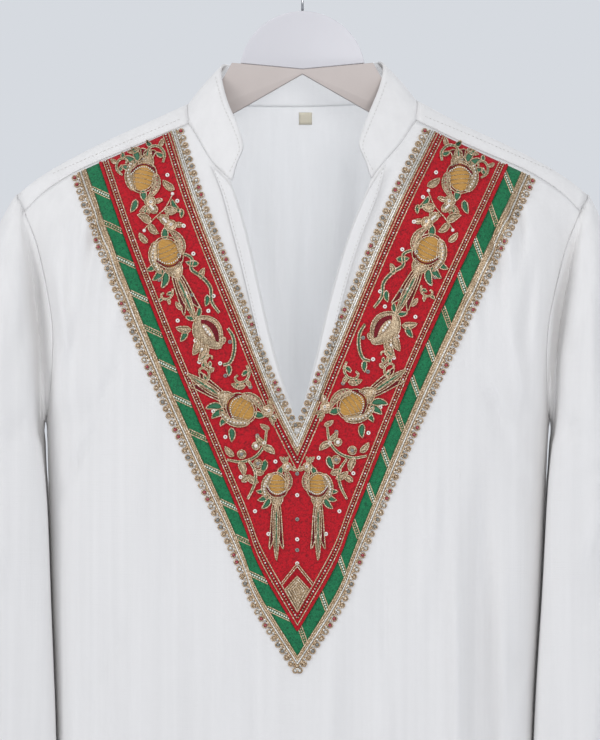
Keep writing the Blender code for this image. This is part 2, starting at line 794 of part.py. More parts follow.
def stop_short(places, side):
    """Keeps one side's lace clear of the other at the centre line."""
    limit = CENTRE_X + side * MITRE_GAP
    result = []
    for row in places:
        result.append([(min(x, limit) if side < 0 else max(x, limit), z) for x, z in row])
    return result


def make_label(back_tree):
    """Blank tab sewn inside the back of the neck."""
    rows = []
    for z in np.linspace(LABEL_Z[0], LABEL_Z[1], 3):
        row = []
        for x in np.linspace(LABEL_X[0], LABEL_X[1], 4):
            hit, _, _, _ = back_tree.ray_cast(Vector((x, 0.0, z)), Vector((0, 1, 0)))
            row.append((x, hit.y - SEAM_GAP * 1.5, z))
        rows.append(row)
    return sheet_object("label", [np.array(rows)], "label_tape", LABEL_CLOTH, from_front, offset=1.0)


# Hanger

def flat_plate(name, outline, thickness, finish):
    """A flat outline in the XZ plane, extruded evenly to both sides of y = 0."""
    curve = bpy.data.curves.new(name, "CURVE")
    curve.dimensions = "2D"
    curve.fill_mode = "BOTH"
    curve.extrude = thickness / 2
    line = curve.splines.new("POLY")
    line.points.add(len(outline) - 1)
    for point, (x, z) in zip(line.points, outline):
        point.co = (x, z, 0, 1)
    line.use_cyclic_u = True
    obj = link(name, curve, finish)
    obj.rotation_euler = (math.pi / 2, 0, 0)
    return obj


def make_board():
    half = metres(BOARD_HALF)
    other = half[::-1].copy()
    other[:, 0] *= -1
    outline = [tuple(p) for p in half] + [tuple(p) for p in other[1:-1]]
    return flat_plate("hanger_board", outline, HANGER_THICKNESS, "beige_board")


def make_head():
    """Half disc standing on the top edge of the board."""
    base_centre = metres(BOARD_HALF)[0][1] + SEAM_GAP
    corner = metres(BOARD_HALF)[1]
    slope = (corner[1] - metres(BOARD_HALF)[0][1]) / abs(corner[0])
    start = math.asin((base_centre + slope * HEAD_RADIUS - HEAD_CENTRE_Z) / HEAD_RADIUS)
    outline = [(0.0, base_centre)]
    for k in range(HEAD_SEGMENTS + 1):
        angle = start + (math.pi - 2 * start) * k / HEAD_SEGMENTS
        x = HEAD_RADIUS * math.cos(angle)
        outline.append((x, HEAD_CENTRE_Z + HEAD_RADIUS * math.sin(angle)))
    return flat_plate("hanger_head", outline, HEAD_THICKNESS, "pale_plastic")


def make_hook():
    """Wire hook, open on the wearer's right."""
    radius = HOOK_RADIUS + HOOK_WIRE
    centre_z = -HOOK_RADIUS
    path = [(0, 0, HEAD_CENTRE_Z + HEAD_RADIUS + SEAM_GAP), (0, 0, STEM_TOP_Z - 0.006)]
    path.append((0.002, 0, STEM_TOP_Z))
    for k in range(HOOK_STEPS + 1):
        angle = math.radians(-62 + 262 * k / HOOK_STEPS)
        path.append((radius * math.cos(angle), 0, centre_z + radius * math.sin(angle)))
    curve = bpy.data.curves.new("hanger_hook", "CURVE")
    curve.dimensions = "3D"
    curve.bevel_depth = HOOK_WIRE
    curve.bevel_resolution = 2
    curve.use_fill_caps = True
    line = curve.splines.new("POLY")
    line.points.add(len(path) - 1)
    for point, place in zip(line.points, path):
        point.co = (*place, 1)
    return link("hanger_hook", curve, "steel_wire")


def clear_scene():
    for obj in list(bpy.data.objects):
        bpy.data.objects.remove(obj)


def main():
    clear_scene()
    bpy.context.scene.collection.children.link(bpy.data.collections.new(COLLECTION))
    for name, finish in FINISHES.items():
        new_material(name, finish)
    front = make_front()
    back = make_back()
    make_sleeve("sleeve_right", -1)
    make_sleeve("sleeve_left", 1)
    make_collar()
    tree = surface_of(front)
    make_placket("placket_right", -1, tree)
    make_placket("placket_left", 1, tree)
    make_vee_band("yoke_green", "green_silk", OUTER_LACE, GREEN, 1, tree)
    make_vee_band("yoke_red", "red_silk", GREEN, RED, 4, tree)
    for label, side in (("right", -1), ("left", 1)):
        make_lace(f"lace_outer_{label}", side, OUTER_TIP, SCALLOP_ROOT, OUTER_LACE,
                  OUTER_SCALLOPS, BAND_LIFT, tree)
        make_lace(f"lace_inner_{label}", side, INNER_TIP, INNER_ROOT, RED,
                  INNER_SCALLOPS, LACE_LIFT, tree)
    make_label(surface_of(back))
    make_board()
    make_head()
    make_hook()


main()
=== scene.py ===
"""White kurta with an embroidered V yoke, hanging on a flat hanger.

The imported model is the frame. Each operator dresses one piece of it: thin cloth on the
sewn panels, metal-thread work on the yoke, and better finishes on the hanger. The front
faces -Y, +Z is up, and the origin is where the hook rests on its rail.
"""
import json
import math

import bmesh
import bpy
import numpy as np
from bpy.props import FloatProperty, FloatVectorProperty, IntProperty, PointerProperty
from mathutils import Matrix, Vector
from mathutils.bvhtree import BVHTree

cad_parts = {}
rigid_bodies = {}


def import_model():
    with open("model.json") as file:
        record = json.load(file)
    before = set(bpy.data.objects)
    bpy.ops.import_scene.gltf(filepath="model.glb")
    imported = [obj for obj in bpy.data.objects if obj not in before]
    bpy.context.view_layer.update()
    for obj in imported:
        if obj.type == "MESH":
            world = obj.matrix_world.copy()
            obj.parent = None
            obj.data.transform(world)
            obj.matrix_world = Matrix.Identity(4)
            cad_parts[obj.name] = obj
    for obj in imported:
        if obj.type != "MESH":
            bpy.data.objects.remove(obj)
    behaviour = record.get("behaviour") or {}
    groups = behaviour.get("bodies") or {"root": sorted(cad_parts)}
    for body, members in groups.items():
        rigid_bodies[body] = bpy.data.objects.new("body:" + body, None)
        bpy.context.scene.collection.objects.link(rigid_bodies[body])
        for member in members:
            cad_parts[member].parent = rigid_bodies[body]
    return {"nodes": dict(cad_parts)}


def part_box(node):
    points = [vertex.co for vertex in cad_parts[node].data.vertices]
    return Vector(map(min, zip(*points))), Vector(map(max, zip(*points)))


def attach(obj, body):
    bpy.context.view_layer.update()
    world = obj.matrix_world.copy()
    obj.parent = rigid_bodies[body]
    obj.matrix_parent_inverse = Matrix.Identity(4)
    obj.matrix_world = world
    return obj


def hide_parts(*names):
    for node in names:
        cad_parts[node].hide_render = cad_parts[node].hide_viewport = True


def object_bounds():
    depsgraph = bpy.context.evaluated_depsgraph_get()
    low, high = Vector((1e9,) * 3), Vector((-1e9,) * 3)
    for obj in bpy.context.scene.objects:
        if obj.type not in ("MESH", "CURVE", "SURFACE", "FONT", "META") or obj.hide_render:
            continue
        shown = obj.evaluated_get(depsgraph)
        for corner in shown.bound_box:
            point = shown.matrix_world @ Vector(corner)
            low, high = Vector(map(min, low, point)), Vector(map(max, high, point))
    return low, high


bl_info = {
    "name": "Embroidered kurta",
    "version": (1, 0, 0),
    "blender": (4, 5, 0),
    "location": "View3D > Sidebar > Kurta",
    "description": "Dresses a kurta with cotton, metal-thread embroidery and a hanger",
    "category": "Object",
}

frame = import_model()
NODES = frame["nodes"]
CAD_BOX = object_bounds()
MM = 0.001

# The camera stands level in front of the yoke, as far off as a portrait lens would
CAMERA_PLACE = (-0.0019, -2.65, -0.3435)
CAMERA_LENS = 208.0
FLOOR_DROP = 0.40

# Yoke arms in millimetres, seen from the front: x and z from the shoulder to the centre line
OUTER_EDGE = {
    -1: ((-176.1, -196.4), (-141.0, -288.0), (-102.5, -378.0), (-51.8, -485.5), (-35.5, -525.0),
         (-3.8, -573.3)),
    1: ((178.0, -199.0), (135.5, -288.0), (92.3, -378.0), (45.4, -485.5), (28.5, -525.0), (-3.8, -573.3)),
}
INNER_EDGE = {
    -1: ((-89.6, -158.6), (-70.9, -216.0), (-42.5, -288.0), (-25.0, -333.0), (-4.0, -378.0)),
    1: ((90.4, -158.6), (62.0, -216.0), (31.8, -288.0), (13.0, -333.0), (-4.0, -378.0)),
}
CENTRE_X = -4.0
ARM_SAMPLES = 400
# The borders keep their width for most of the arm and narrow near its foot
BAND_POWER = 2.2


# Curves on the yoke

def between(pair, share):
    """Value at a share of the way from the first of a pair to the second."""
    return pair[0] + (pair[1] - pair[0]) * share


def length_of(points):
    return float(np.linalg.norm(np.diff(np.array(points, dtype=float), axis=0), axis=1).sum())


def spline(points, count):
    """Smooth curve through the points, cut into count equal lengths."""
    points = np.array(points, dtype=float)
    control = np.vstack([2 * points[0] - points[1], points, 2 * points[-1] - points[-2]])
    fine = [points[0]]
    for k in range(len(points) - 1):
        p0, p1, p2, p3 = control[k:k + 4]
        for step in range(1, 41):
            t = step / 40
            fine.append(0.5 * (2 * p1 + (p2 - p0) * t + (2 * p0 - 5 * p1 + 4 * p2 - p3) * t ** 2
                               + (3 * p1 - p0 - 3 * p2 + p3) * t ** 3))
    fine = np.array(fine)
    length = np.concatenate([[0.0], np.cumsum(np.linalg.norm(np.diff(fine, axis=0), axis=1))])
    wanted = np.linspace(0, length[-1], count + 1)
    return np.column_stack([np.interp(wanted, length, fine[:, k]) for k in range(fine.shape[1])])


ARM_OUTER = {side: spline(OUTER_EDGE[side], ARM_SAMPLES) for side in (-1, 1)}
ARM_INNER = {side: spline(INNER_EDGE[side], ARM_SAMPLES) for side in (-1, 1)}


def arm_point(side, along, share):
    """Place in millimetres at a share of the way along one arm and across it from outside."""
    place = along * ARM_SAMPLES
    low = min(int(place), ARM_SAMPLES - 1)
    part = place - low
    outer = ARM_OUTER[side][low] * (1 - part) + ARM_OUTER[side][low + 1] * part
    inner = ARM_INNER[side][low] * (1 - part) + ARM_INNER[side][low + 1] * part
    return outer + (inner - outer) * share


def line_point(side, band, along):
    """Place on a line of the arm, which is given as its share at the shoulder and at the foot."""
    return arm_point(side, along, between(band, along ** BAND_POWER))


# Lines across the arm: share at the shoulder and at the foot
LOOPS = (0.028, 0.015)
LOOP_ROOT = (0.056, 0.030)
OUTER_BRAID_A = (0.068, 0.040)
OUTER_BRAID_B = (0.088, 0.053)
OUTER_BRAID_C = (0.108, 0.065)
OUTER_BRAID_D = (0.128, 0.077)
GREEN_OUTER = (0.140, 0.084)
GREEN_INNER = (0.250, 0.174)
PIPING = (0.264, 0.183)
ROPE_ONE = (0.288, 0.200)
SEEDS_ONE = (0.307, 0.225)
ROPE_TWO = (0.326, 0.250)
FIELD_OUTER = (0.340, 0.262)
FIELD_INNER = (0.806, 0.778)
ROPE_THREE = (0.815, 0.788)
SEEDS_TWO = (0.838, 0.819)
ROPE_FOUR = (0.862, 0.850)
RED_INNER = (0.875, 0.856)
INNER_BRAID_A = (0.884, 0.866)
INNER_BRAID_B = (0.900, 0.884)
INNER_BRAID_C = (0.916, 0.902)
INNER_ROOT = (0.934, 0.922)
INNER_LOOPS = (0.962, 0.952)


# Settings

def linear(text):
    """Linear colour from an sRGB hex value."""
    values = [int(text[k:k + 2], 16) / 255 for k in (1, 3, 5)]
    return tuple(v / 12.92 if v <= 0.04045 else ((v + 0.055) / 1.055) ** 2.4 for v in values)


def colour_setting(name, description, text):
    return FloatVectorProperty(name=name, description=description, subtype="COLOR", size=3, min=0, max=1,
                               default=linear(text))


def length_setting(name, description, default, low, high):
    return FloatProperty(name=name, description=description, default=default, min=low, max=high,
                         subtype="DISTANCE", unit="LENGTH")


class ClothSettings(bpy.types.PropertyGroup):
    """Cotton of the panels."""
    refine: IntProperty(name="Refine", description="Subdivisions of the sewn panels", default=2, min=1, max=3)
    crease_depth: FloatProperty(name="Crease depth", description="Scale of the small creases", default=2.1,
                                min=0, max=3, subtype="FACTOR")
    colour: colour_setting("Cotton", "Colour of the bleached cotton", "#E5E3E1")


class YokeSettings(bpy.types.PropertyGroup):
    """Colours and sizes of the embroidery."""
    rope_radius: length_setting("Cord radius", "Radius of the couched gold cord", 0.00062, 0.0002, 0.002)
    loop_pitch: length_setting("Loop pitch", "Distance between the loops of the edging", 0.0057, 0.003, 0.02)
    red: colour_setting("Red silk", "Ground of the yoke", "#C00E20")
    green: colour_setting("Green silk", "Band beside the yoke", "#1B7A4E")
    gold: colour_setting("Gold thread", "Couched metal thread", "#C9AB83")
    amber: colour_setting("Amber silk", "Satin stitch of the birds", "#C99436")


class HangerSettings(bpy.types.PropertyGroup):
    """Finishes of the hanger."""
    edge: length_setting("Edge radius", "Rounding of the board's edges", 0.0007, 0.0001, 0.002)
    board: colour_setting("Board", "Colour of the board", "#C2B7B1")


# Materials

# Light scatters as far in red, green and blue, so the glow is white
EVEN_GLOW = (1.0, 1.0, 1.0)
# Metres between the bands of a wave texture at a scale of 1
WAVE_PERIOD = 0.314


def add_node(tree, kind, settings=None, inputs=None):
    """A shader node with its settings, and inputs that are values or the sockets to link."""
    node = tree.nodes.new(kind)
    for key, value in (settings or {}).items():
        setattr(node, key, value)
    for key, value in (inputs or {}).items():
        if isinstance(value, bpy.types.NodeSocket):
            tree.links.new(value, node.inputs[key])
        else:
            node.inputs[key].default_value = value
    return node


def start_material(name, **values):
    """A material with its Principled shader's constants set, and its tree."""
    material = bpy.data.materials.new(name)
    material.use_nodes = True
    shader = material.node_tree.nodes["Principled BSDF"]
    for key, value in values.items():
        shader.inputs[key.replace("_", " ")].default_value = value
    return material, material.node_tree, shader


def object_places(tree, stretch=(1, 1, 1), turn=(0, 0, 0)):
    place = add_node(tree, "ShaderNodeTexCoord")
    return add_node(tree, "ShaderNodeMapping", inputs={
        "Vector": place.outputs["Object"], "Scale": stretch, "Rotation": turn}).outputs["Vector"]


def noise(tree, places, spacing_mm, detail=2.0, roughness=0.5):
    """Noise whose blobs are about spacing_mm apart."""
    return add_node(tree, "ShaderNodeTexNoise", inputs={
        "Vector": places, "Scale": 1000.0 / spacing_mm, "Detail": detail,
        "Roughness": roughness}).outputs["Fac"]


def rows_of_thread(tree, places, direction, spacing_mm, **inputs):
    """Soft parallel rows, spacing_mm apart along X or Z."""
    return add_node(tree, "ShaderNodeTexWave", {"wave_type": "BANDS", "bands_direction": direction}, {
        "Vector": places, "Scale": WAVE_PERIOD / (spacing_mm * MM),
        **{key.replace("_", " "): value for key, value in inputs.items()}}).outputs["Fac"]


def blend_colours(tree, factor, first, second):
    """Colour from first to second, each a colour or a socket, by a factor socket."""
    mix = add_node(tree, "ShaderNodeMix", {"data_type": "RGBA"})
    tree.links.new(factor, mix.inputs[0])
    for k, colour in ((6, first), (7, second)):
        if isinstance(colour, bpy.types.NodeSocket):
            tree.links.new(colour, mix.inputs[k])
        else:
            mix.inputs[k].default_value = (*colour, 1.0)
    return mix.outputs[2]


def spread(tree, socket, low, high):
    """Stretches the range low to high to 0 to 1."""
    return add_node(tree, "ShaderNodeMapRange", inputs={
        "Value": socket, "From Min": low, "From Max": high}).outputs["Result"]


def raise_bump(tree, shader, height, distance_mm, strength=1.0, sink=False):
    bump = add_node(tree, "ShaderNodeBump", {"invert": sink}, {
        "Height": height, "Distance": distance_mm * MM, "Strength": strength})
    tree.links.new(bump.outputs["Normal"], shader.inputs["Normal"])


def paint(tree, shader, colour):
    tree.links.new(colour, shader.inputs["Base Color"])


def shade(colour, factor):
    return tuple(c * factor for c in colour)


def cotton_voile(name, colour, glow, glow_mm):
    # Plain-woven bleached cotton: matt, with slightly uneven yarns that show as faint
    # upright streaks. The yarns are drawn about 1 mm apart, coarser than real, to show.
    # Light seeps through it, more where a single layer has the room behind it.
    material, tree, shader = start_material(
        name, Roughness=0.88, Sheen_Weight=0.08, Sheen_Roughness=0.5, Subsurface_Weight=glow,
        Subsurface_Scale=glow_mm * MM, Subsurface_Radius=EVEN_GLOW)
    warp = noise(tree, object_places(tree, (1.0, 1.0, 0.03)), 1.1, 3.0, 0.65)
    weft = noise(tree, object_places(tree, (0.05, 0.05, 1.0)), 0.9, 2.0, 0.6)
    slubs = noise(tree, object_places(tree, (1.0, 1.0, 0.02)), 7.0)
    yarns = add_node(tree, "ShaderNodeMath", {"operation": "ADD"}, {0: warp, 1: weft}).outputs[0]
    paint(tree, shader, blend_colours(tree, spread(tree, slubs, 0.3, 0.7), shade(colour, 0.955), colour))
    raise_bump(tree, shader, yarns, 0.22, 0.55)
    return material


def stitched_silk(name, colour, painted_shade, spacing_mm=1.5):
    # Silk ground filled with tiny chain stitches: a grainy surface with a soft gloss, and painted shade in
    # the sunken edges of the stitches, in random patches
    material, tree, shader = start_material(name, Roughness=0.7, Sheen_Weight=0.04,
                                            Specular_IOR_Level=0.25)
    places = object_places(tree)
    grains = add_node(tree, "ShaderNodeTexVoronoi", {"feature": "F1"}, {
        "Vector": places, "Scale": 1000.0 / spacing_mm}).outputs["Distance"]
    patches = noise(tree, places, 2.2, 3.0, 0.7)
    both = add_node(tree, "ShaderNodeMath", {"operation": "MULTIPLY"}, {
        0: spread(tree, grains, 0.1, 0.7), 1: spread(tree, patches, 0.35, 0.65)}).outputs[0]
    paint(tree, shader, blend_colours(tree, both, colour, painted_shade))
    raise_bump(tree, shader, grains, 0.5, sink=True)
    return material


def metal_thread(name, colour, painted_shade, painted_glint, roughness=0.4):
    # Fine flat metal wound on a thread: a broken glitter along the twist, painted into the colour as painted
    # glints on the twist's crests and painted shade in its hollows
    material, tree, shader = start_material(name, Roughness=roughness, Metallic=0.55)
    twist = noise(tree, object_places(tree), 0.9, 2.0, 0.6)
    low = blend_colours(tree, spread(tree, twist, 0.30, 0.56), painted_shade, colour)
    paint(tree, shader, blend_colours(tree, spread(tree, twist, 0.52, 0.72), low, painted_glint))
    raise_bump(tree, shader, twist, 0.25, 0.7)
    return material


def satin_thread(name, colour, painted_shade):
    # Floss laid side by side: fine light and dark rows 1.1 mm apart with a silk gloss; the dark colour is
    # painted shade in the hollows between the strands
    material, tree, shader = start_material(name, Roughness=0.45, Sheen_Weight=0.4)
    rows = rows_of_thread(tree, object_places(tree, turn=(0, 0.2, 0)), "Z", 1.1, Distortion=2.5, Detail=2.0,
                          Detail_Scale=2.0)
    paint(tree, shader, blend_colours(tree, spread(tree, rows, 0.1, 0.8), painted_shade, colour))
    raise_bump(tree, shader, rows, 0.3, 0.6)
    return material


def glass(name, colour):
    # Small cut or pressed bead: glossy, with a slightly cloudy body
    material, tree, shader = start_material(name, Roughness=0.12, Coat_Weight=0.6, Coat_Roughness=0.08)
    cloud = noise(tree, object_places(tree), 1.5)
    paint(tree, shader, blend_colours(tree, cloud, shade(colour, 0.8), colour))
    return material


def painted_board(colour):
    # Pressed board with a satin paint: smooth, with a faint mottle from the roller
    material, tree, shader = start_material("painted_board", Roughness=0.5)
    mottle = noise(tree, object_places(tree), 14.0, 4.0)
    paint(tree, shader, blend_colours(tree, mottle, shade(colour, 0.95), shade(colour, 1.03)))
    raise_bump(tree, shader, noise(tree, object_places(tree), 0.8), 0.03, 0.4)
    return material


def moulded_polypropylene(colour):
    # Injection-moulded polypropylene: pale, satin and slightly cloudy
    material, tree, shader = start_material(
        "moulded_polypropylene", Roughness=0.38, IOR=1.49, Subsurface_Weight=0.3, Subsurface_Scale=0.003,
        Subsurface_Radius=EVEN_GLOW)
    cloud = noise(tree, object_places(tree), 20.0, 3.0)
    paint(tree, shader, blend_colours(tree, cloud, shade(colour, 0.97), colour))
    return material


def drawn_steel_wire():
    # Bright drawn wire: fine lines along its length and a clean reflection
    material, tree, shader = start_material("drawn_steel_wire", Metallic=1.0, Roughness=0.22)
    lines = noise(tree, object_places(tree, (1.0, 1.0, 0.1)), 0.4)
    paint(tree, shader, blend_colours(tree, lines, linear("#8E8F92"), linear("#B9BABD")))
    return material


def woven_tape():
    # Cream cotton tape: matt, with a tight rib 0.9 mm apart; the darker cream is painted shade in the troughs
    # of the rib
    material, tree, shader = start_material("woven_tape", Roughness=0.85, Sheen_Weight=0.2)
    rib = rows_of_thread(tree, object_places(tree), "X", 0.9, Distortion=0.6)
    paint(tree, shader, blend_colours(tree, rib, linear("#EFE6CC"), linear("#FBF5E2")))
    raise_bump(tree, shader, rib, 0.15, 0.5)
    return material


def floor_plaster():
    # Smooth matt plaster, barely mottled
    material, tree, shader = start_material("floor_plaster", Roughness=0.9)
    mottle = noise(tree, object_places(tree), 180.0, 3.0)
    paint(tree, shader, blend_colours(tree, mottle, linear("#DADCE1"), linear("#E0E2E6")))
    return material


MATERIALS = {}


def make_materials(scene):
    yoke = scene.kurta_yoke
    cotton = tuple(scene.kurta_cloth.colour)
    MATERIALS.update({
        "cotton": cotton_voile("bleached_cotton", cotton, 0.22, 4.0),
        "thin_cotton": cotton_voile("bleached_cotton_single", cotton, 0.8, 20.0),
        # The second colour of each stitched silk is painted shade between its stitches
        "red": stitched_silk("red_silk_ground", tuple(yoke.red), linear("#7E0C17")),
        "dark_red": stitched_silk("maroon_silk_cord", linear("#7C1420"), linear("#4A0A12")),
        "green": stitched_silk("green_silk_ground", tuple(yoke.green), linear("#0E4F33"), 1.2),
        # The second colour of each floss is painted shade between its strands
        "green_floss": satin_thread("green_silk_floss", linear("#1E7A50"), linear("#0E4A2E")),
        "amber": satin_thread("amber_silk_floss", tuple(yoke.amber), linear("#A3742C")),
        "thread": satin_thread("white_sewing_thread", linear("#DEDCD8"), linear("#BDBAB4")),
        # The last two colours of each metal thread are its painted shade and its painted glints
        "gold": metal_thread("gilt_thread", tuple(yoke.gold), linear("#6C5440"), linear("#F8F0E4")),
        "old_gold": metal_thread("antique_gilt_thread", linear("#B7A183"), linear("#6F5C46"),
                                 linear("#DCCBAA")),
        "silver": metal_thread("silver_thread", linear("#DAD7D0"), linear("#9B968C"), linear("#FBFAF6"),
                               0.32),
        "pearl": glass("pearl_bead", linear("#F2EEE6")),
        "ruby": glass("ruby_glass_bead", linear("#A33138")),
        "smoke": glass("smoked_glass_bead", linear("#85837D")),
        "board": painted_board(tuple(scene.kurta_hanger.board)),
        "head": moulded_polypropylene(linear("#D2D0D3")),
        "wire": drawn_steel_wire(),
        "tape": woven_tape(),
        "floor": floor_plaster(),
    })


# Meshes

def link_mesh(name, mesh, material):
    """A piece from a mesh, riding on the garment's one body."""
    obj = bpy.data.objects.new(name, mesh)
    mesh.materials.clear()
    mesh.materials.append(MATERIALS[material])
    bpy.context.scene.collection.objects.link(obj)
    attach(obj, "root")
    return obj


def second_finish(obj, material, takes):
    """Gives a second finish to the faces that a test takes."""
    obj.data.materials.append(MATERIALS[material])
    for face in obj.data.polygons:
        face.material_index = int(takes(face))


def evaluated_mesh(obj):
    """The mesh that an object's curve or modifiers make. The object is taken away."""
    bpy.context.scene.collection.objects.link(obj)
    bpy.context.view_layer.update()
    mesh = bpy.data.meshes.new_from_object(obj.evaluated_get(bpy.context.evaluated_depsgraph_get()))
    bpy.data.objects.remove(obj)
    return mesh


def finish_bmesh(bm, name, smooth=True):
    mesh = bpy.data.meshes.new(name)
    bm.to_mesh(mesh)
    bm.free()
    if smooth:
        mesh.shade_smooth()
    return mesh


def merged_copy(node):
    """A bmesh of a CAD node with its loose triangles joined at their corners."""
    bm = bmesh.new()
    bm.from_mesh(NODES[node].data)
    bmesh.ops.remove_doubles(bm, verts=bm.verts, dist=0.00002)
    return bm


# Edges that bend by more than this, in radians, are the square rims of a wall
RIM_BEND = 0.95


def refined_mesh(node, levels):
    """A CAD node's wall rounded by subdivision, with its rims kept square."""
    bm = merged_copy(node)
    bmesh.ops.join_triangles(bm, faces=bm.faces, angle_face_threshold=0.9, angle_shape_threshold=0.9)
    crease = bm.edges.layers.float.new("crease_edge")
    for edge in bm.edges:
        if len(edge.link_faces) == 2 and edge.calc_face_angle() > RIM_BEND:
            edge[crease] = 1.0
    mesh = finish_bmesh(bm, node + "_cage")
    cage = bpy.data.objects.new(node + "_cage", mesh)
    rounding = cage.modifiers.new("rounding", "SUBSURF")
    rounding.levels = levels
    rounding.render_levels = levels
    result = evaluated_mesh(cage)
    bpy.data.meshes.remove(mesh)
    result.name = node + "_cloth"
    result.shade_smooth()
    result.set_sharp_from_angle(angle=math.radians(55))
    return result


# Creases, in millimetres: middle, angle from upright, half length, half width and depth outwards
FRONT_CREASES = (
    (-165, -232, 4, 30, 4.0, 1.6), (-157, -246, 8, 42, 3.5, -1.8), (-150, -262, 10, 46, 4.5, 1.5),
    (-176, -262, -6, 40, 4.0, -1.6), (-181, -300, -8, 46, 4.5, 1.5), (-170, -318, 12, 52, 6.0, -1.5),
    (-140, -300, 14, 44, 6.0, 1.2), (-152, -372, 22, 52, 5.5, -1.7), (-163, -392, 28, 44, 4.5, 1.4),
    (-172, -420, 34, 36, 4.0, -1.4), (-120, -420, 8, 60, 7.0, 1.0), (-98, -500, -4, 70, 8.0, -1.2),
    (-142, -560, 36, 30, 3.5, -1.6), (-150, -575, 38, 26, 3.5, 1.3), (-160, -592, 30, 26, 3.2, -1.3),
    (-60, -560, 3, 60, 7.0, 1.1), (-36, -600, -3, 70, 7.5, -1.2), (20, -610, 4, 80, 8.0, 1.1),
    (62, -540, -3, 74, 7.0, -1.4), (96, -470, 5, 80, 7.0, 1.3), (115, -560, -1, 130, 6.0, 1.8),
    (132, -566, 1, 170, 8.0, -3.0), (149, -580, 1, 120, 6.0, 1.6),
    (128, -300, -10, 46, 5.0, 1.2), (146, -262, -8, 48, 4.0, -1.8), (154, -240, -6, 40, 3.5, 1.6),
    (164, -230, -3, 32, 3.2, -1.4), (170, -296, 8, 50, 5.0, -1.6), (160, -330, -12, 50, 5.5, 1.4),
    (150, -385, -24, 46, 5.0, -1.6), (163, -405, -32, 40, 4.2, 1.4), (171, -440, -30, 34, 4.0, -1.2),
    (166, -570, -38, 26, 3.2, -1.5), (158, -590, -34, 28, 3.5, 1.2), (140, -650, 6, 90, 7.0, -1.4),
    (-128, -700, -5, 90, 8.0, -1.4), (-84, -760, 4, 90, 9.0, 1.3), (-20, -800, -4, 90, 9.0, -1.3),
    (52, -790, 5, 100, 9.0, 1.5), (104, -830, -5, 90, 8.0, -1.4), (150, -880, 4, 80, 7.5, 1.2),
    (-152, -900, 3, 80, 8.0, 1.2), (-60, -950, -4, 80, 9.0, -1.2), (8, -980, 5, 70, 8.0, 1.1),
)
BACK_CREASES = (
    (-150, -262, -8, 50, 5.0, -1.6), (-120, -300, -4, 70, 7.0, 1.4), (-80, -260, 3, 60, 7.0, -1.2),
    (-42, -225, -4, 60, 8.0, 2.6), (-20, -250, -3, 90, 6.0, -2.4), (4, -240, 2, 80, 7.0, 2.2),
    (24, -260, 4, 90, 6.5, -3.0), (44, -230, 3, 60, 7.0, 2.4), (-8, -330, -2, 60, 6.0, -2.0),
    (88, -250, 4, 60, 7.0, 1.4), (128, -290, 8, 60, 6.0, -1.5),
    (152, -330, 14, 50, 5.0, 1.4), (-158, -400, -24, 50, 5.0, 1.5), (-148, -430, -30, 44, 4.5, -1.4),
    (158, -410, 26, 46, 5.0, -1.5), (148, -436, 32, 40, 4.5, 1.3), (-96, -560, 4, 90, 9.0, -1.3),
    (-30, -620, -3, 90, 9.0, 1.3), (44, -600, 3, 96, 9.0, -1.3), (104, -640, -4, 90, 8.0, 1.2),
    (-132, -760, 5, 90, 8.0, 1.3), (-60, -840, -4, 90, 9.0, -1.3), (14, -860, 3, 90, 9.0, 1.2),
    (84, -860, -5, 90, 9.0, -1.2), (146, -900, 4, 80, 8.0, 1.2), (-110, -980, 3, 70, 8.0, -1.1),
)
# On a sleeve: x is across from its middle line, seen from the front
SLEEVE_CREASES = (
    (-16, -300, -6, 52, 5.0, -1.6), (4, -330, 5, 70, 6.0, 1.4), (18, -300, 8, 60, 5.5, -1.5),
    (-12, -395, -30, 26, 4.5, -1.7), (-2, -412, -36, 28, 4.5, 1.5), (8, -430, -40, 28, 5.0, -1.6),
    (-10, -468, 24, 34, 5.0, 1.4), (6, -492, 30, 34, 5.0, -1.5), (-8, -520, -28, 30, 4.5, -1.6),
    (4, -540, -34, 30, 4.8, 1.5), (14, -562, -26, 30, 5.0, -1.4), (-6, -600, 10, 60, 6.0, 1.3),
    (10, -640, -6, 64, 6.0, -1.4), (-10, -690, 8, 56, 5.5, -1.3), (4, -740, -4, 50, 5.5, 1.2),
    (16, -780, 5, 34, 5.0, -1.1),
)


def crease_depth(creases, x, z):
    """Outward depth in metres of the creases at a place in millimetres."""
    total = 0.0
    for cx, cz, angle, half_length, half_width, depth in creases:
        if abs(z - cz) > half_length + 3 * half_width:
            continue
        turn = math.radians(angle)
        dx = x - cx
        dz = z - cz
        across = dx * math.cos(turn) - dz * math.sin(turn)
        along = dx * math.sin(turn) + dz * math.cos(turn)
        fade = max(0.0, 1.0 - (along / half_length) ** 2) ** 1.5
        total += depth * fade * math.exp(-(across / half_width) ** 2)
    return total * MM


def ramp(value, start, run):
    """Rises from 0 at start to 1 after a run."""
    return min(max((value - start) / run, 0.0), 1.0)


def crease_panel(mesh, creases, face, scale):
    """Pushes a body panel's wall out and in along Y, fading at the side seams."""
    for vert in mesh.vertices:
        x, y, z = vert.co
        fade = ramp(abs(y), 0.012, 0.024)
        vert.co.y += face * scale * fade * crease_depth(creases, x / MM, z / MM)


def crease_sleeve(mesh, node, side, scale):
    """Pushes a sleeve's wall away from and towards its middle line."""
    low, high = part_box(node)
    inner_side = side * min(abs(low[0]), abs(high[0]))
    for vert in mesh.vertices:
        x, y, z = vert.co
        # The middle line is 27 mm out from the inner edge at the shoulder and 49 mm lower down
        middle = inner_side + side * (0.027 + 0.022 * ramp(-z, 0.23, 0.25))
        face = 1.0 if y > 0 else -1.0
        across = -side * face * (x - middle) / MM
        fade = ramp(abs(y), 0.008, 0.016) * ramp(-z, 0.235, 0.05)
        vert.co.y += face * scale * fade * crease_depth(SLEEVE_CREASES, across, z / MM)


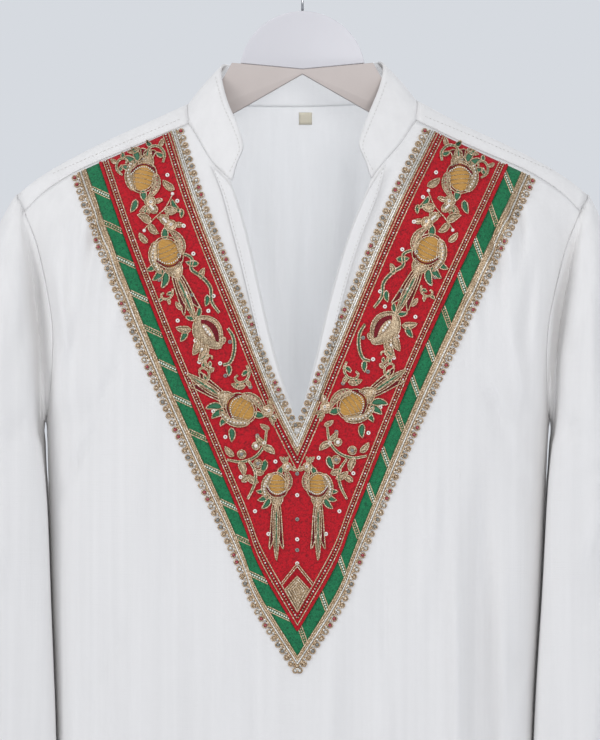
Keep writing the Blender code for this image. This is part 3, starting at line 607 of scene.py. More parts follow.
def wall_tree(mesh):
    return BVHTree.FromPolygons([v.co for v in mesh.vertices], [tuple(p.vertices) for p in mesh.polygons])


# Most that a seam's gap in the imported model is, and what is left of it here, in metres
SEAM_REACH = 0.0026
SEAM_LEFT = 0.0001
# Height of the underarm
UNDERARM = -0.383
# A sleeve is moved until this gap is left, but at most this far, and less and less over a
# width from its inner edge
SLEEVE_REST = 0.0008
SLEEVE_MOVE = 0.009
SLEEVE_WIDTH = 0.040
# Height of the levels at which the gap is measured, and a value that no gap or place reaches
LEVEL = 0.012
UNSEEN = 9.0


def close_seams(meshes):
    """Draws the rims of neighbouring panels together along their seams, above the underarm."""
    trees = {name: wall_tree(mesh) for name, mesh in meshes.items()}
    for name, mesh in meshes.items():
        for vert in mesh.vertices:
            if vert.co.z < UNDERARM:
                continue
            move = Vector((0, 0, 0))
            for other, tree in trees.items():
                if other == name or {name, other} == {"sleeve_right", "sleeve_left"}:
                    continue
                near, _, _, away = tree.find_nearest(vert.co, SEAM_REACH * 2)
                if near is None or away < SEAM_LEFT:
                    continue
                share = min(max(2 - away / SEAM_REACH, 0.0), 1.0)
                move += (near - vert.co) * (share * (away - SEAM_LEFT) / away / 2)
            vert.co += move


def hang_close(sleeve, bodies, side):
    """Lets a sleeve's inner edge hang up to the body's side below the underarm."""
    trees = [wall_tree(mesh) for mesh in bodies]
    count = int(-min(vert.co.z for vert in sleeve.vertices) / LEVEL) + 2
    # Least gap to the body and inmost place at each level, in front and behind
    gaps, edges = np.full((2, 2, count), UNSEEN)
    for vert in sleeve.vertices:
        cell = int(vert.co.y > 0), int(-vert.co.z / LEVEL)
        gaps[cell] = min(gaps[cell], min(tree.find_nearest(vert.co)[3] for tree in trees))
        edges[cell] = min(edges[cell], side * vert.co.x)
    heights = (np.arange(count) + 0.5) * LEVEL
    for row in (*gaps, *edges):
        seen = row < UNSEEN
        row[:] = np.interp(heights, heights[seen], row[seen])
    smooth = np.array([[row[max(k - 2, 0):k + 3].mean() for k in range(count)] for row in gaps])
    smooth = np.minimum(smooth, gaps + 0.0004)
    for vert in sleeve.vertices:
        x, y, z = vert.co
        start = ramp(UNDERARM - z, 0.006, 0.010)
        if start == 0.0:
            continue
        back = ramp(y, -0.012, 0.024)
        gap, edge = (between([np.interp(-z, heights, row) for row in rows], back) for rows in (smooth, edges))
        inset = ramp(side * x, edge, SLEEVE_WIDTH)
        fade = (1 - inset) ** 2 * (1 + 2 * inset)
        vert.co.x -= side * min(max(gap - SLEEVE_REST, 0.0), SLEEVE_MOVE) * fade * start


class KURTA_OT_panels(bpy.types.Operator):
    """Cotton front, back, sleeves, collar and facings"""
    bl_idname = "kurta.panels"
    bl_label = "Cotton panels"

    def execute(self, context):
        cloth = context.scene.kurta_cloth
        meshes = {node: refined_mesh(node, cloth.refine)
                  for node in ("front_panel", "back_panel", "sleeve_right", "sleeve_left", "collar")}
        close_seams(meshes)
        bodies = (meshes["front_panel"], meshes["back_panel"])
        for node, side in (("sleeve_right", -1), ("sleeve_left", 1)):
            crease_sleeve(meshes[node], node, side, cloth.crease_depth)
            hang_close(meshes[node], bodies, side)
        crease_panel(meshes["front_panel"], FRONT_CREASES, -1, cloth.crease_depth)
        crease_panel(meshes["back_panel"], BACK_CREASES, 1, cloth.crease_depth)
        sheets = {
            "front_panel": ("front_cotton", (0.52, 0.97), 0.41, "hanger_board"),
            "back_panel": ("back_cotton", (0.52, 0.97), 0.41, "hanger_board"),
            "sleeve_right": ("sleeve_right_cotton", (0.26, 0.62), 0.145, "front_cotton"),
            "sleeve_left": ("sleeve_left_cotton", (0.26, 0.62), 0.145, "front_cotton"),
            "collar": ("collar_cotton", (0.042, 0.36), 0.012, "hanger_board"),
        }
        for node, (name, flat, area, under) in sheets.items():
            finish = "thin_cotton" if node == "back_panel" else "cotton"
            obj = link_mesh(name, meshes[node], finish)
            # The back's inside and the back of the collar have the room's light behind them
            if node == "back_panel":
                second_finish(obj, "cotton", lambda face: face.center.y < 0.002 or face.normal.y > 0)
            if node == "collar":
                second_finish(obj, "thin_cotton", lambda face: face.center.y > 0.016)
            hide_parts(node)
        for node in ("placket_right", "placket_left"):
            obj = link_mesh(node + "_cotton", refined_mesh(node, cloth.refine), "cotton")
            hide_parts(node)
        obj = link_mesh("neck_tape", refined_mesh("label", 1), "tape")
        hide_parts("label")
        return {"FINISHED"}


# Work on the yoke

# The rays start 1 m before the middle plane and stop just behind it
RAY_REACH = 1.02


class Ground:
    """Finished pieces seen from one side, that finer work lies on."""

    def __init__(self, names, view=1):
        self.view = view
        graph = bpy.context.evaluated_depsgraph_get()
        self.trees = [BVHTree.FromObject(bpy.data.objects[name], graph) for name in names]

    def place(self, x, z, lift):
        """Point in metres over a place in millimetres, lifted off the nearest surface in front."""
        start = Vector((x * MM, -self.view, z * MM))
        best = None
        for tree in self.trees:
            hit, normal, _, away = tree.ray_cast(start, Vector((0, self.view, 0)))
            if hit is not None and away < RAY_REACH and (best is None or away < best[2]):
                best = (hit, normal, away)
        if best is None:
            near, _, _, _ = self.trees[0].find_nearest(Vector((x * MM, -0.055 * self.view, z * MM)))
            return Vector((x * MM, near.y - lift * self.view, z * MM))
        hit, normal, _ = best
        out = normal if normal.y * self.view < 0 else -normal
        return hit + out * lift


# Height of a bead's centre over what it lies on, as a share of its radius
BEAD_SINK = 0.6


class Work:
    """Gathers cords, satin leaves and beads, and makes one mesh of each kind and finish."""

    def __init__(self, ground):
        self.ground = ground
        self.cords = {}
        self.fills = {}
        self.beads = {}

    def cord(self, finish, points, radius, lift, closed=False, knots=True):
        """A couched cord through places in millimetres."""
        places = [self.ground.place(x, z, lift) for x, z in points]
        self.cords.setdefault(finish, []).append((places, radius, closed, knots))

    def bead(self, finish, place, radius, lift):
        """A bead that sinks a little into what it lies on."""
        centre = self.ground.place(*place, radius * BEAD_SINK + lift)
        self.beads.setdefault(finish, []).append((centre, radius))

    def fill(self, finish, rows, height):
        """A padded patch of satin stitch: rows of places, highest along the middle."""
        made = []
        for row in rows:
            last = len(row) - 1
            places = []
            for k, (x, z) in enumerate(row):
                crown = math.sin(math.pi * k / last) ** 0.5 if 0 < k < last else 0.0
                places.append(self.ground.place(x, z, 0.0001 + height * crown))
            made.append(places)
        self.fills.setdefault(finish, []).append(made)


# A twisted cord's radius between two of its turns, as a share of the full radius, and the
# distance in millimetres from one to the other
TWIST_WAIST = 0.74
TWIST_STEP = 1.1


def cord_mesh(name, cords):
    """Cords as one mesh: a bevelled poly spline each, thick and thin by turns like a twist."""
    curve = bpy.data.curves.new(name, "CURVE")
    curve.dimensions = "3D"
    curve.bevel_depth = 1.0
    curve.bevel_resolution = 1
    curve.use_fill_caps = True
    for places, radius, closed, knots in cords:
        strand = curve.splines.new("POLY")
        strand.points.add(len(places) - 1)
        strand.use_cyclic_u = closed
        for k, (point, place) in enumerate(zip(strand.points, places)):
            point.co = (*place, 1)
            point.radius = radius * (TWIST_WAIST if knots and k % 2 else 1.0)
    mesh = evaluated_mesh(bpy.data.objects.new(name, curve))
    bpy.data.curves.remove(curve)
    mesh.name = name
    mesh.shade_smooth()
    return mesh


# Beads made together in one small bmesh, because each operator call walks the whole bmesh
BEAD_BATCH = 40
# Beads of a larger radius are round spheres, and the others have fewer faces
ROUND_BEAD = 0.0009


def bead_mesh(name, beads):
    """Beads as one mesh, from their places and radii."""
    bm = bmesh.new()
    for start in range(0, len(beads), BEAD_BATCH):
        batch = bmesh.new()
        for place, radius in beads[start:start + BEAD_BATCH]:
            where = Matrix.Translation(place)
            if radius > ROUND_BEAD:
                bmesh.ops.create_uvsphere(batch, u_segments=8, v_segments=5, radius=radius, matrix=where)
            else:
                bmesh.ops.create_icosphere(batch, subdivisions=1, radius=radius, matrix=where)
        mesh = finish_bmesh(batch, name + "_batch")
        bm.from_mesh(mesh)
        bpy.data.meshes.remove(mesh)
    return finish_bmesh(bm, name)


def add_patch(bm, rows):
    """A create_grid sheet moved onto rows of points."""
    down, across = len(rows) - 1, len(rows[0]) - 1
    made = bmesh.ops.create_grid(bm, x_segments=across, y_segments=down, size=1.0)
    for vert in made["verts"]:
        i = round((vert.co.x + 1) / 2 * across)
        j = round((1 - vert.co.y) / 2 * down)
        vert.co = rows[j][i]


def face_front(bm):
    """Turns an open sheet's faces towards -Y."""
    bmesh.ops.recalc_face_normals(bm, faces=bm.faces)
    if sum(face.normal.y * face.calc_area() for face in bm.faces) > 0:
        bmesh.ops.reverse_faces(bm, faces=bm.faces)


def fill_mesh(name, fills):
    """Satin patches as one mesh, facing the front."""
    bm = bmesh.new()
    for rows in fills:
        add_patch(bm, rows)
    face_front(bm)
    for face in bm.faces:
        if face.normal.y > 0:
            face.normal_flip()
    return finish_bmesh(bm, name)


# Edges that are topstitched, in millimetres seen from the front: x and z
FRONT_SEAMS = (
    ((-190.0, -193.5), (-176.3, -187.5), (-131.1, -168.2), (-92.0, -152.2)),
    ((190.0, -191.0), (176.0, -185.5), (131.0, -166.0), (92.0, -150.0)),
    ((-66.8, -193.0), (-58.6, -211.0), (-52.6, -233.0), (-44.6, -263.0), (-35.8, -301.0), (-27.0, -339.0),
     (-20.6, -364.0)),
    ((60.6, -192.0), (54.6, -213.0), (44.2, -239.0), (35.2, -265.0), (26.8, -297.0), (17.0, -339.0),
     (10.6, -364.0)),
    ((-66.4, -120.0), (-60.0, -143.0), (-52.8, -159.5), (-47.6, -175.6), (-50.6, -186.0), (-55.4, -196.0)),
    ((64.0, -124.0), (57.0, -143.4), (51.2, -157.4), (45.4, -174.0), (48.6, -185.0), (53.4, -194.5)),
)
HEMS = (
    ((-176.0, -1085.0), (-90.0, -1086.0), (0.0, -1086.0), (90.0, -1086.0), (172.0, -1085.0)),
    ((-284.0, -800.0), (-242.0, -800.0), (-200.0, -800.0)),
    ((282.0, -800.0), (236.0, -800.0), (190.0, -800.0)),
)
# From one stitch to the next in millimetres, and the longest step of a stitch that lies flat in metres
STITCH_PITCH = 3.2
STITCH_STEP = 0.002


class KURTA_OT_stitches(bpy.types.Operator):
    """Topstitching along the seams, the facings and the hems"""
    bl_idname = "kurta.stitches"
    bl_label = "Topstitching"

    def execute(self, context):
        names = [obj.name for obj in bpy.data.objects if obj.name.endswith("_cotton")]
        stitches = []
        for view, lines in ((1, FRONT_SEAMS + HEMS), (-1, HEMS)):
            ground = Ground(names, view)
            for points in lines:
                count = int(length_of(points) / STITCH_PITCH)
                fine = spline(points, count * 4)
                for k in range(count):
                    ends = [ground.place(*fine[4 * k + j], 0.00012) for j in range(3)]
                    if max((a - b).length for a, b in zip(ends, ends[1:])) < STITCH_STEP:
                        stitches.append((ends, 0.00024, False, False))
        link_mesh("topstitching", cord_mesh("topstitching", stitches), "thread")
        return {"FINISHED"}


# Finish of what is gathered under another name, so that it stays a piece of its own
FINISH_OF = {"piping": "red", "gold_bead": "gold", "gold_fill": "gold", "dark_red_fill": "dark_red",
             "pearl_ring": "pearl", "smoke_ring": "smoke", "green_cord": "green_floss"}


def link_work(work, prefix):
    """Makes the pieces of all that was gathered, one for each kind and finish."""
    for kind, gathered, make in (("cord", work.cords, cord_mesh), ("satin", work.fills, fill_mesh),
                                 ("bead", work.beads, bead_mesh)):
        for key, items in gathered.items():
            name = f"{prefix}_{kind}_{key}"
            finish = FINISH_OF.get(key, key)
            link_mesh(name, make(name, items), finish)


def band_piece(name, ground, outer, inner, columns, steps, lift, thickness, material):
    """A flat band down both arms, mitred at the centre, with a thin wall."""
    bm = bmesh.new()
    for side in (-1, 1):
        rows = []
        for j in range(steps + 1):
            along = j / steps
            row = []
            edges = [between(band, along ** BAND_POWER) for band in (outer, inner)]
            for i in range(columns + 1):
                x, z = arm_point(side, along, between(edges, i / columns))
                if j == steps:
                    x = CENTRE_X
                row.append(ground.place(x, z, lift))
            rows.append(row)
        add_patch(bm, rows)
    bmesh.ops.remove_doubles(bm, verts=bm.verts, dist=0.00001)
    face_front(bm)
    mesh = finish_bmesh(bm, name)
    obj = link_mesh(name, mesh, material)
    wall = obj.modifiers.new("wall", "SOLIDIFY")
    wall.thickness = thickness
    wall.offset = 1.0
    return obj


def arm_length(side, band):
    return length_of([line_point(side, band, k / 60) for k in range(61)])


def arm_cord(work, side, finish, band, radius, step_mm, lift, knots=True):
    """A cord along a line of the arm."""
    count = max(8, int(arm_length(side, band) / step_mm))
    points = [line_point(side, band, k / count) for k in range(count + 1)]
    work.cord(finish, points, radius, lift, knots=knots)


def arm_places(side, band, pitch_mm, inset=0.5):
    """Numbered places along a line of the arm, pitch_mm apart."""
    count = int(arm_length(side, band) / pitch_mm)
    for k in range(count):
        along = (k + inset) / count
        yield k, line_point(side, band, along)


def ring(centre, radius, count):
    """Places round a centre, in millimetres."""
    return [(centre[0] + radius * math.cos(2 * math.pi * k / count),
             centre[1] + radius * math.sin(2 * math.pi * k / count)) for k in range(count)]


class KURTA_OT_bands(bpy.types.Operator):
    """Silk bands and braid strips of the yoke"""
    bl_idname = "kurta.bands"
    bl_label = "Yoke bands"

    def execute(self, context):
        ground = Ground(["front_cotton"])
        red = band_piece("red_silk_band", ground, GREEN_INNER, RED_INNER, 20, 120, 0.0004, 0.0006,
                         "red")
        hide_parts("yoke_red")
        green = band_piece("green_silk_band", ground, GREEN_OUTER, GREEN_INNER, 5, 120, 0.0004, 0.0007,
                           "green")
        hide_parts("yoke_green")
        outer = band_piece("outer_braid", ground, LOOP_ROOT, GREEN_OUTER, 3, 150, 0.0003, 0.0005,
                           "old_gold")
        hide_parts("lace_outer_right", "lace_outer_left")
        trimmed = Ground(["front_cotton", "placket_right_cotton", "placket_left_cotton"])
        inner = band_piece("inner_braid", trimmed, RED_INNER, INNER_ROOT, 3, 110, 0.0003, 0.0005,
                           "old_gold")
        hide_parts("lace_inner_right", "lace_inner_left")
        return {"FINISHED"}


# Beads in the edging's loops, in turn, and a loop's radius in millimetres
LOOP_CENTRES = ("ruby", "gold_bead", "smoke", "gold_bead", "ruby", "silver", "gold_bead", "smoke", "silver")
LOOP_RADIUS = 1.95


def edge_loops(work, side, band, pitch, root, step):
    """Edging of wire loops, each with a bead, on a close row of small metal beads."""
    for k, place in arm_places(side, band, pitch):
        work.cord("gold", ring(place, LOOP_RADIUS, 12), 0.00058, lift=0.0008, closed=True)
        work.bead(LOOP_CENTRES[k * step % len(LOOP_CENTRES)], place, 0.00125, 0.0004)
    for k, place in arm_places(side, root, pitch / 2, 0.75):
        work.bead("silver" if k % 3 else "gold_bead", place, 0.0010, 0.0002)


# Run of the stripes across the green band, from its outer edge, on each side
STRIPE_RUN = {-1: (0.905, -0.425), 1: (-0.34, 0.94)}
# In millimetres: from one stripe to the next, how far its ends reach over the band's edges, half
# its width, and from one sequin on it to the next
STRIPE_PITCH = 27.6
STRIPE_OVERLAP = 1.2
STRIPE_HALF = 1.6
SEQUIN_PITCH = 1.9


def crossing(side, band, start, run):
    """Where a straight run from start meets a line of the arm."""
    best = None
    for k in range(241):
        point = line_point(side, band, k / 240)
        away = point - start
        off = abs(away[0] * run[1] - away[1] * run[0])
        if np.dot(away, run) > 0 and (best is None or off < best[0]):
            best = (off, point)
    return best[1] if best and best[0] < 1.5 else None


def green_stripes(work, side):
    """Slanting pairs of gold cord across the green band, with sequins laid between them."""
    run = np.array(STRIPE_RUN[side])
    across = np.array([-run[1], run[0]])
    for k, start in arm_places(side, GREEN_OUTER, STRIPE_PITCH, 0.62):
        stop = crossing(side, GREEN_INNER, start, run)
        if stop is None:
            continue
        start = start - run * STRIPE_OVERLAP
        span = np.linalg.norm(stop - start) + STRIPE_OVERLAP
        steps = max(4, int(span / TWIST_STEP))
        middle = [start + run * span * j / steps for j in range(steps + 1)]
        rows = [[p + across * STRIPE_HALF * c for c in (-1, -0.5, 0, 0.5, 1)] for p in middle]
        work.fill("old_gold", rows, 0.0004)
        for offset in (-1.5, 1.5):
            work.cord("gold", [p + across * offset for p in middle], 0.00062, lift=0.0011)
        for j in range(int(span / SEQUIN_PITCH)):
            place = start + run * (j + 0.5) * SEQUIN_PITCH
            work.bead("pearl" if k % 3 != 1 else "gold_bead", place, 0.00085, 0.0004)


class KURTA_OT_borders(bpy.types.Operator):
    """Cords, seed beads and looped edgings along the yoke"""
    bl_idname = "kurta.borders"
    bl_label = "Yoke borders"

    def execute(self, context):
        yoke = context.scene.kurta_yoke
        radius = yoke.rope_radius
        pitch = yoke.loop_pitch / MM
        work = Work(Ground(["front_cotton", "placket_right_cotton", "placket_left_cotton"]))
        for side in (-1, 1):
            edge_loops(work, side, LOOPS, pitch, LOOP_ROOT, 4)
            edge_loops(work, side, INNER_LOOPS, pitch, INNER_ROOT, 5)
            for band in (OUTER_BRAID_A, OUTER_BRAID_C, OUTER_BRAID_D, INNER_BRAID_A):
                arm_cord(work, side, "gold", band, radius * 1.25, 1.8, lift=0.0009)
            arm_cord(work, side, "silver", OUTER_BRAID_B, radius * 1.25, 1.6, lift=0.0011)
            arm_cord(work, side, "silver", INNER_BRAID_B, radius * 1.45, 1.6, lift=0.0011)
            arm_cord(work, side, "silver", INNER_BRAID_C, radius * 1.2, 1.6, lift=0.0010)
            arm_cord(work, side, "piping", PIPING, 0.00125, 3.0, lift=0.0012, knots=False)
            for band in (ROPE_ONE, ROPE_TWO, ROPE_THREE, ROPE_FOUR):
                arm_cord(work, side, "gold", band, radius, 1.2, lift=0.0013)
            for band, wide in ((SEEDS_ONE, 0.0008), (SEEDS_TWO, 0.0009)):
                arm_cord(work, side, "dark_red", band, wide, 3.0, lift=0.0010, knots=False)
                for k, place in arm_places(side, band, 2.1):
                    work.bead("gold_bead" if k % 4 else "pearl", place, 0.00078, 0.0013)
            green_stripes(work, side)
        link_work(work, "border")
        return {"FINISHED"}


# Motifs of the red field

class Spot:
    """A motif's own axes on the cloth, in millimetres, and the work that it adds to."""

    def __init__(self, work, centre, inward, up, turn, size, flip):
        angle = math.radians(turn)
        self.work = work
        self.centre = np.array(centre, dtype=float)
        self.x_axis = (inward * math.cos(angle) + up * math.sin(angle)) * size * flip
        self.y_axis = (up * math.cos(angle) - inward * math.sin(angle)) * size

    def at(self, x, y):
        return self.centre + self.x_axis * x + self.y_axis * y


FIELD_MIDDLE = tuple((a + b) / 2 for a, b in zip(FIELD_OUTER, FIELD_INNER))


def arm_spot(work, side, along_mm, across_mm, turn=0.0, size=1.0, flip=1):
    """Axes at a distance down the arm: x towards the neck opening and y up the arm."""
    along = along_mm / arm_length(side, FIELD_MIDDLE)
    here = line_point(side, FIELD_MIDDLE, along)
    near = line_point(side, FIELD_MIDDLE, max(along - 0.02, 0))
    up = (near - here) / np.linalg.norm(near - here)
    inward = np.array([up[1], -up[0]]) * -side
    return Spot(work, here + inward * across_mm, inward, up, turn, size, flip)


def upright_spot(work, side, across_mm, z_mm, turn=0.0, size=1.0):
    """Axes beside the centre line: x towards it and y up."""
    centre = (CENTRE_X + side * across_mm, z_mm)
    return Spot(work, centre, np.array([-side, 0.0]), np.array([0.0, 1.0]), turn, size, 1)


def left_of(run):
    """Unit direction to the left of a run."""
    return np.array([-run[1], run[0]]) / np.linalg.norm(run)


def arc_between(start, end, bend, count):
    """Points of a shallow curve that bulges by bend to the left of its run."""
    start, end = np.array(start, dtype=float), np.array(end, dtype=float)
    control = (start + end) / 2 + left_of(end - start) * bend * 2
    shares = np.linspace(0, 1, count + 1)
    return [start * (1 - t) ** 2 + control * 2 * t * (1 - t) + end * t * t for t in shares]


def leaf(spot, finish, start, end, width, bend=0.0, height=0.0008, outline="gold", cord=0.0006,
         full=0.75):
    """A leaf or feather of satin stitch from start to end, with a couched outline."""
    count = max(7, int(length_of((start, end)) / TWIST_STEP))
    middle = arc_between(start, end, bend, count)
    rows, left, right = [], [], []
    for k, point in enumerate(middle):
        t = k / count
        out = left_of(middle[min(k + 1, count)] - middle[max(k - 1, 0)])
        half = width / 2 * math.sin(math.pi * t ** full) ** 0.75 if 0 < k < count else 0.0
        rows.append([spot.at(*(point + out * half * c)) for c in (-1, -0.5, 0, 0.5, 1)])
        left.append(spot.at(*(point + out * (half + 0.2))))
        right.append(spot.at(*(point - out * (half + 0.2))))
    if finish:
        spot.work.fill(finish, rows, height)
    if outline:
        spot.work.cord(outline, left + right[-2:0:-1], cord, lift=cord + 0.0003, closed=True)


def plume(spot, start, end, width, bend=0.0, core="green_floss"):
    """A feather with a gold edge, a gold body and a narrow coloured core."""
    leaf(spot, "old_gold", start, end, width, bend)
    start, end = np.array(start, dtype=float), np.array(end, dtype=float)
    inner = start + (end - start) * 0.14, start + (end - start) * 0.84
    leaf(spot, core, inner[0], inner[1], width * 0.36, bend * 0.6, 0.0015, None)


def oval(spot, finish, x, y, half_x, half_y, height=0.0, cord=0.00062):
    """A padded oval with a couched outline."""
    rows = []
    for k in range(11):
        level = -math.cos(math.pi * k / 10)
        half = math.sqrt(max(0.0, 1 - level * level)) * half_x
        rows.append([spot.at(x + half * c, y + level * half_y) for c in (-1, -0.6, -0.2, 0.2, 0.6, 1)])
    if finish:
        spot.work.fill(finish, rows, height)
    # The outline is about 3.2 times as long as both half widths together
    count = max(10, int(3.2 * (half_x + half_y) / TWIST_STEP))
    points = [spot.at(x + half_x * a, y + half_y * b) for a, b in ring((0, 0), 1, count)]
    spot.work.cord("gold", points, cord, lift=cord + 0.0004, closed=True)


def line(spot, finish, points, radius, lift=0.0003):
    """A couched cord, smoothed through a motif's points."""
    fine = spline(points, max(3, int(length_of(points) / TWIST_STEP)))
    spot.work.cord(finish, [spot.at(x, y) for x, y in fine], radius, lift=radius + lift)


def stone(spot, x, y, radius, finish, lift):
    """A bead at a motif's own place."""
    spot.work.bead(finish, spot.at(x, y), radius, lift)


def beads_along(spot, finish, points, radius, pitch, lift):
    """Beads on a smooth line through a motif's points, pitch millimetres apart."""
    for x, y in spline(points, max(2, int(length_of(points) / pitch))):
        stone(spot, x, y, radius, finish, lift)


def sequin(spot, finish):
    """A cup sequin: a bright ring with a knot in its eye."""
    spot.work.cord(finish, ring(spot.centre, 1.05, 9), 0.00062, lift=0.0007, closed=True, knots=False)
    spot.work.bead("smoke", spot.centre, 0.00042, 0.0002)


def vine(spot, points, width):
    """A double gold stem with a green core, thin at both ends."""
    fine = np.array(spline(points, max(6, int(length_of(points) / TWIST_STEP))))
    run = np.gradient(fine, axis=0)
    out = np.column_stack([-run[:, 1], run[:, 0]]) / np.linalg.norm(run, axis=1)[:, None]
    taper = np.sin(np.linspace(0.3, math.pi - 0.3, len(fine))) ** 0.4
    for sign in (-1, 1):
        beside = fine + out * (width * taper * sign)[:, None]
        spot.work.cord("gold", [spot.at(x, y) for x, y in beside], 0.0006, lift=0.0008)
    spot.work.cord("green_cord", [spot.at(x, y) for x, y in fine], 0.0005, lift=0.0006, knots=False)


def bird(spot, tail):
    """A perching bird in profile, with a banded body, a beaded wing and a long tail."""
    for x, bend in ((-5.4, 1.6), (5.4, -1.6)):
        leaf(spot, "dark_red_fill", (x * 0.3, -11.0), (x, -13.0 - tail * 0.8), 4.6, bend, 0.0004)
    plume(spot, (0, -12.0), (0.0, -13.0 - tail), 4.8)
    for start, end, width in (((-6.5, -5.5), (-14.5, -10.0), 3.8), ((-5.5, -8.5), (-11.5, -16.5), 3.8),
                              ((-8.0, -1.0), (-15.5, -3.0), 3.2)):
        leaf(spot, "green_floss", start, end, width, 1.4, 0.0008)
    leaf(spot, "old_gold", (-1.0, -4.0), (0.5, -15.5), 9.6, 0.6, 0.0012)
    oval(spot, "amber", 0.0, 1.0, 7.6, 9.0, 0.0016)
    oval(spot, None, 0.0, 0.8, 9.2, 10.6, cord=0.0006)
    for level in (-3.4, -0.6, 2.2, 5.0):
        half = 7.0 * math.sqrt(1 - ((level - 1.0) / 9.0) ** 2)
        line(spot, "old_gold", [(-half, level + 0.5), (0, level), (half, level + 0.5)], 0.00030, 0.0014)
    line(spot, "dark_red", [(-7.6, -0.6), (-4.0, -5.4), (1.5, -7.0), (7.0, -4.6)], 0.0007, 0.0011)
    beads_along(spot, "pearl", [(-7.2, 0.8), (-3.6, -3.9), (1.6, -5.4), (6.6, -3.2)], 0.00062, 1.35, 0.0016)
    line(spot, "gold", [(-7.4, -2.6), (-3.6, -7.2), (1.6, -8.6), (6.6, -6.6)], 0.00055, 0.0010)
    leaf(spot, "old_gold", (-3.0, 10.5), (-8.0, -9.0), 5.4, -3.2, 0.0016, cord=0.0006)
    beads_along(spot, "pearl", [(-5.6, 8.0), (-9.6, 1.0), (-8.8, -5.8)], 0.00078, 2.1, 0.0014)
    leaf(spot, "old_gold", (7.2, -3.0), (6.2, 14.0), 4.8, -3.0, 0.0015, cord=0.0006)
    beads_along(spot, "ruby", [(9.6, -0.5), (10.4, 5.0), (8.6, 10.6)], 0.00062, 2.0, 0.0014)
    leaf(spot, "green_floss", (2.6, 9.0), (5.8, 16.0), 3.6, 1.0, 0.0012)
    oval(spot, "gold_fill", 8.2, 15.8, 3.5, 3.3, 0.0018)
    stone(spot, 8.9, 16.2, 0.0013, "pearl", 0.0014)
    stone(spot, 9.0, 16.2, 0.0006, "smoke", 0.0030)
    leaf(spot, "gold_fill", (11.2, 15.8), (16.0, 13.2), 2.6, -0.5, 0.0009, cord=0.00045)
    for k in range(3):
        leaf(spot, "green_floss" if k == 1 else "old_gold", (7.4 - k * 0.7, 18.6), (9.5 - 3.4 * k, 23.6),
             2.0, 0.5 - 0.5 * k, 0.0008, cord=0.0004)


def sprig(spot):
    """A slanting stem with beaded petals across it and leaves at both ends."""
    line(spot, "gold", [(-15.5, -6.0), (-5.0, -1.6), (6.0, 2.0), (15.5, 8.6)], 0.00062)
    for start, end, width in (((-0.6, 1.6), (-4.2, 11.4), 5.6), ((1.0, -1.0), (3.4, -11.6), 5.4)):
        leaf(spot, "old_gold", start, end, width, 0.0, 0.0010)
        middle = (np.array(start) + np.array(end)) / 2
        for share in (-1.4, 0.0, 1.4):
            stone(spot, middle[0] - share * 0.3, middle[1] + share, 0.0010, "pearl", 0.0012)
    for start, end, width, bend in (((-9.0, -3.2), (-14.5, 6.5), 5.2, -1.4),
                                    ((-9.0, -3.6), (-6.4, -13.0), 4.4, -1.4),
                                    ((6.4, 2.0), (14.4, -2.4), 6.0, -1.6)):
        plume(spot, start, end, width, bend, "gold_fill")
    leaf(spot, "green_floss", (13.6, 5.6), (16.2, -6.0), 3.2, -1.6, 0.0009)
    for x, y in ((-15.0, -6.4), (16.0, 9.2)):
        stone(spot, x, y, 0.0014, "pearl", 0.0006)


def bud(spot):
    """A ripe bud with a split rind, a pointed foot and two leaves."""
    leaf(spot, "old_gold", (0, 12.5), (0.5, -13.5), 18.5, 0.0, 0.0012, cord=0.00062, full=0.85)
    leaf(spot, "dark_red_fill", (1.6, 9.6), (1.8, -9.6), 11.0, 0.4, 0.0021, cord=0.0005, full=0.9)
    leaf(spot, "gold_fill", (0.4, 7.0), (0.6, -8.0), 6.4, 0.4, 0.0030, cord=0.0005)
    for y in (4.6, 2.4, 0.2, -2.0):
        stone(spot, 0.2, y, 0.0011, "pearl", 0.0032)
    beads_along(spot, "gold_bead", [(6.6, 4.6), (7.4, -1.0), (5.2, -7.0)], 0.00075, 1.8, 0.0013)
    for start, end, width, bend in (((-7.4, 0.5), (-17.0, -6.0), 5.0, 1.2),
                                    ((-5.6, -6.0), (-16.4, -11.5), 4.6, 1.0)):
        plume(spot, start, end, width, bend, "gold_fill")
    stone(spot, -9.8, -6.6, 0.0012, "pearl", 0.0002)
    for sign in (-1, 1):
        leaf(spot, "green_floss", (sign * 0.6, 12.6), (sign * 5.6, 17.6), 2.6, -sign * 0.8)


def branch(spot):
    """An arching stem with round fruits and leaves."""
    vine(spot, [(-18.5, 6.5), (-11.0, -0.6), (-1.0, -3.6), (9.0, -0.8), (17.0, 7.0)], 0.8)
    for x, y, radius, centre in ((-7.6, 3.6, 3.0, "smoke"), (4.2, 2.4, 2.7, "pearl"),
                                 (-2.0, -8.6, 2.9, "smoke")):
        oval(spot, "gold_fill", x, y, radius, radius, 0.0011)
        stone(spot, x, y, 0.0016, centre, 0.0010)
    for start, end, width in (((-12.5, 0.0), (-15.5, -9.5), 4.4), ((8.0, -1.4), (11.4, -10.0), 4.2),
                              ((10.0, -0.2), (9.4, 8.4), 3.4)):
        leaf(spot, "old_gold", start, end, width, 1.2, 0.0009)


def curl(spot):
    """A hooked leaf tuft for the corners."""
    vine(spot, [(-6.0, -7.0), (-7.0, 0.0), (-2.5, 6.0), (4.0, 6.2), (6.4, 2.0), (3.4, -0.4)], 0.8)
    leaf(spot, "green_floss", (-6.4, -1.5), (-0.4, 1.4), 3.2, -0.8)
    leaf(spot, "old_gold", (-2.5, 6.4), (-4.6, 12.6), 3.0, 0.8)
    leaf(spot, "green_floss", (3.6, 6.6), (7.6, 11.2), 3.0, -0.8)


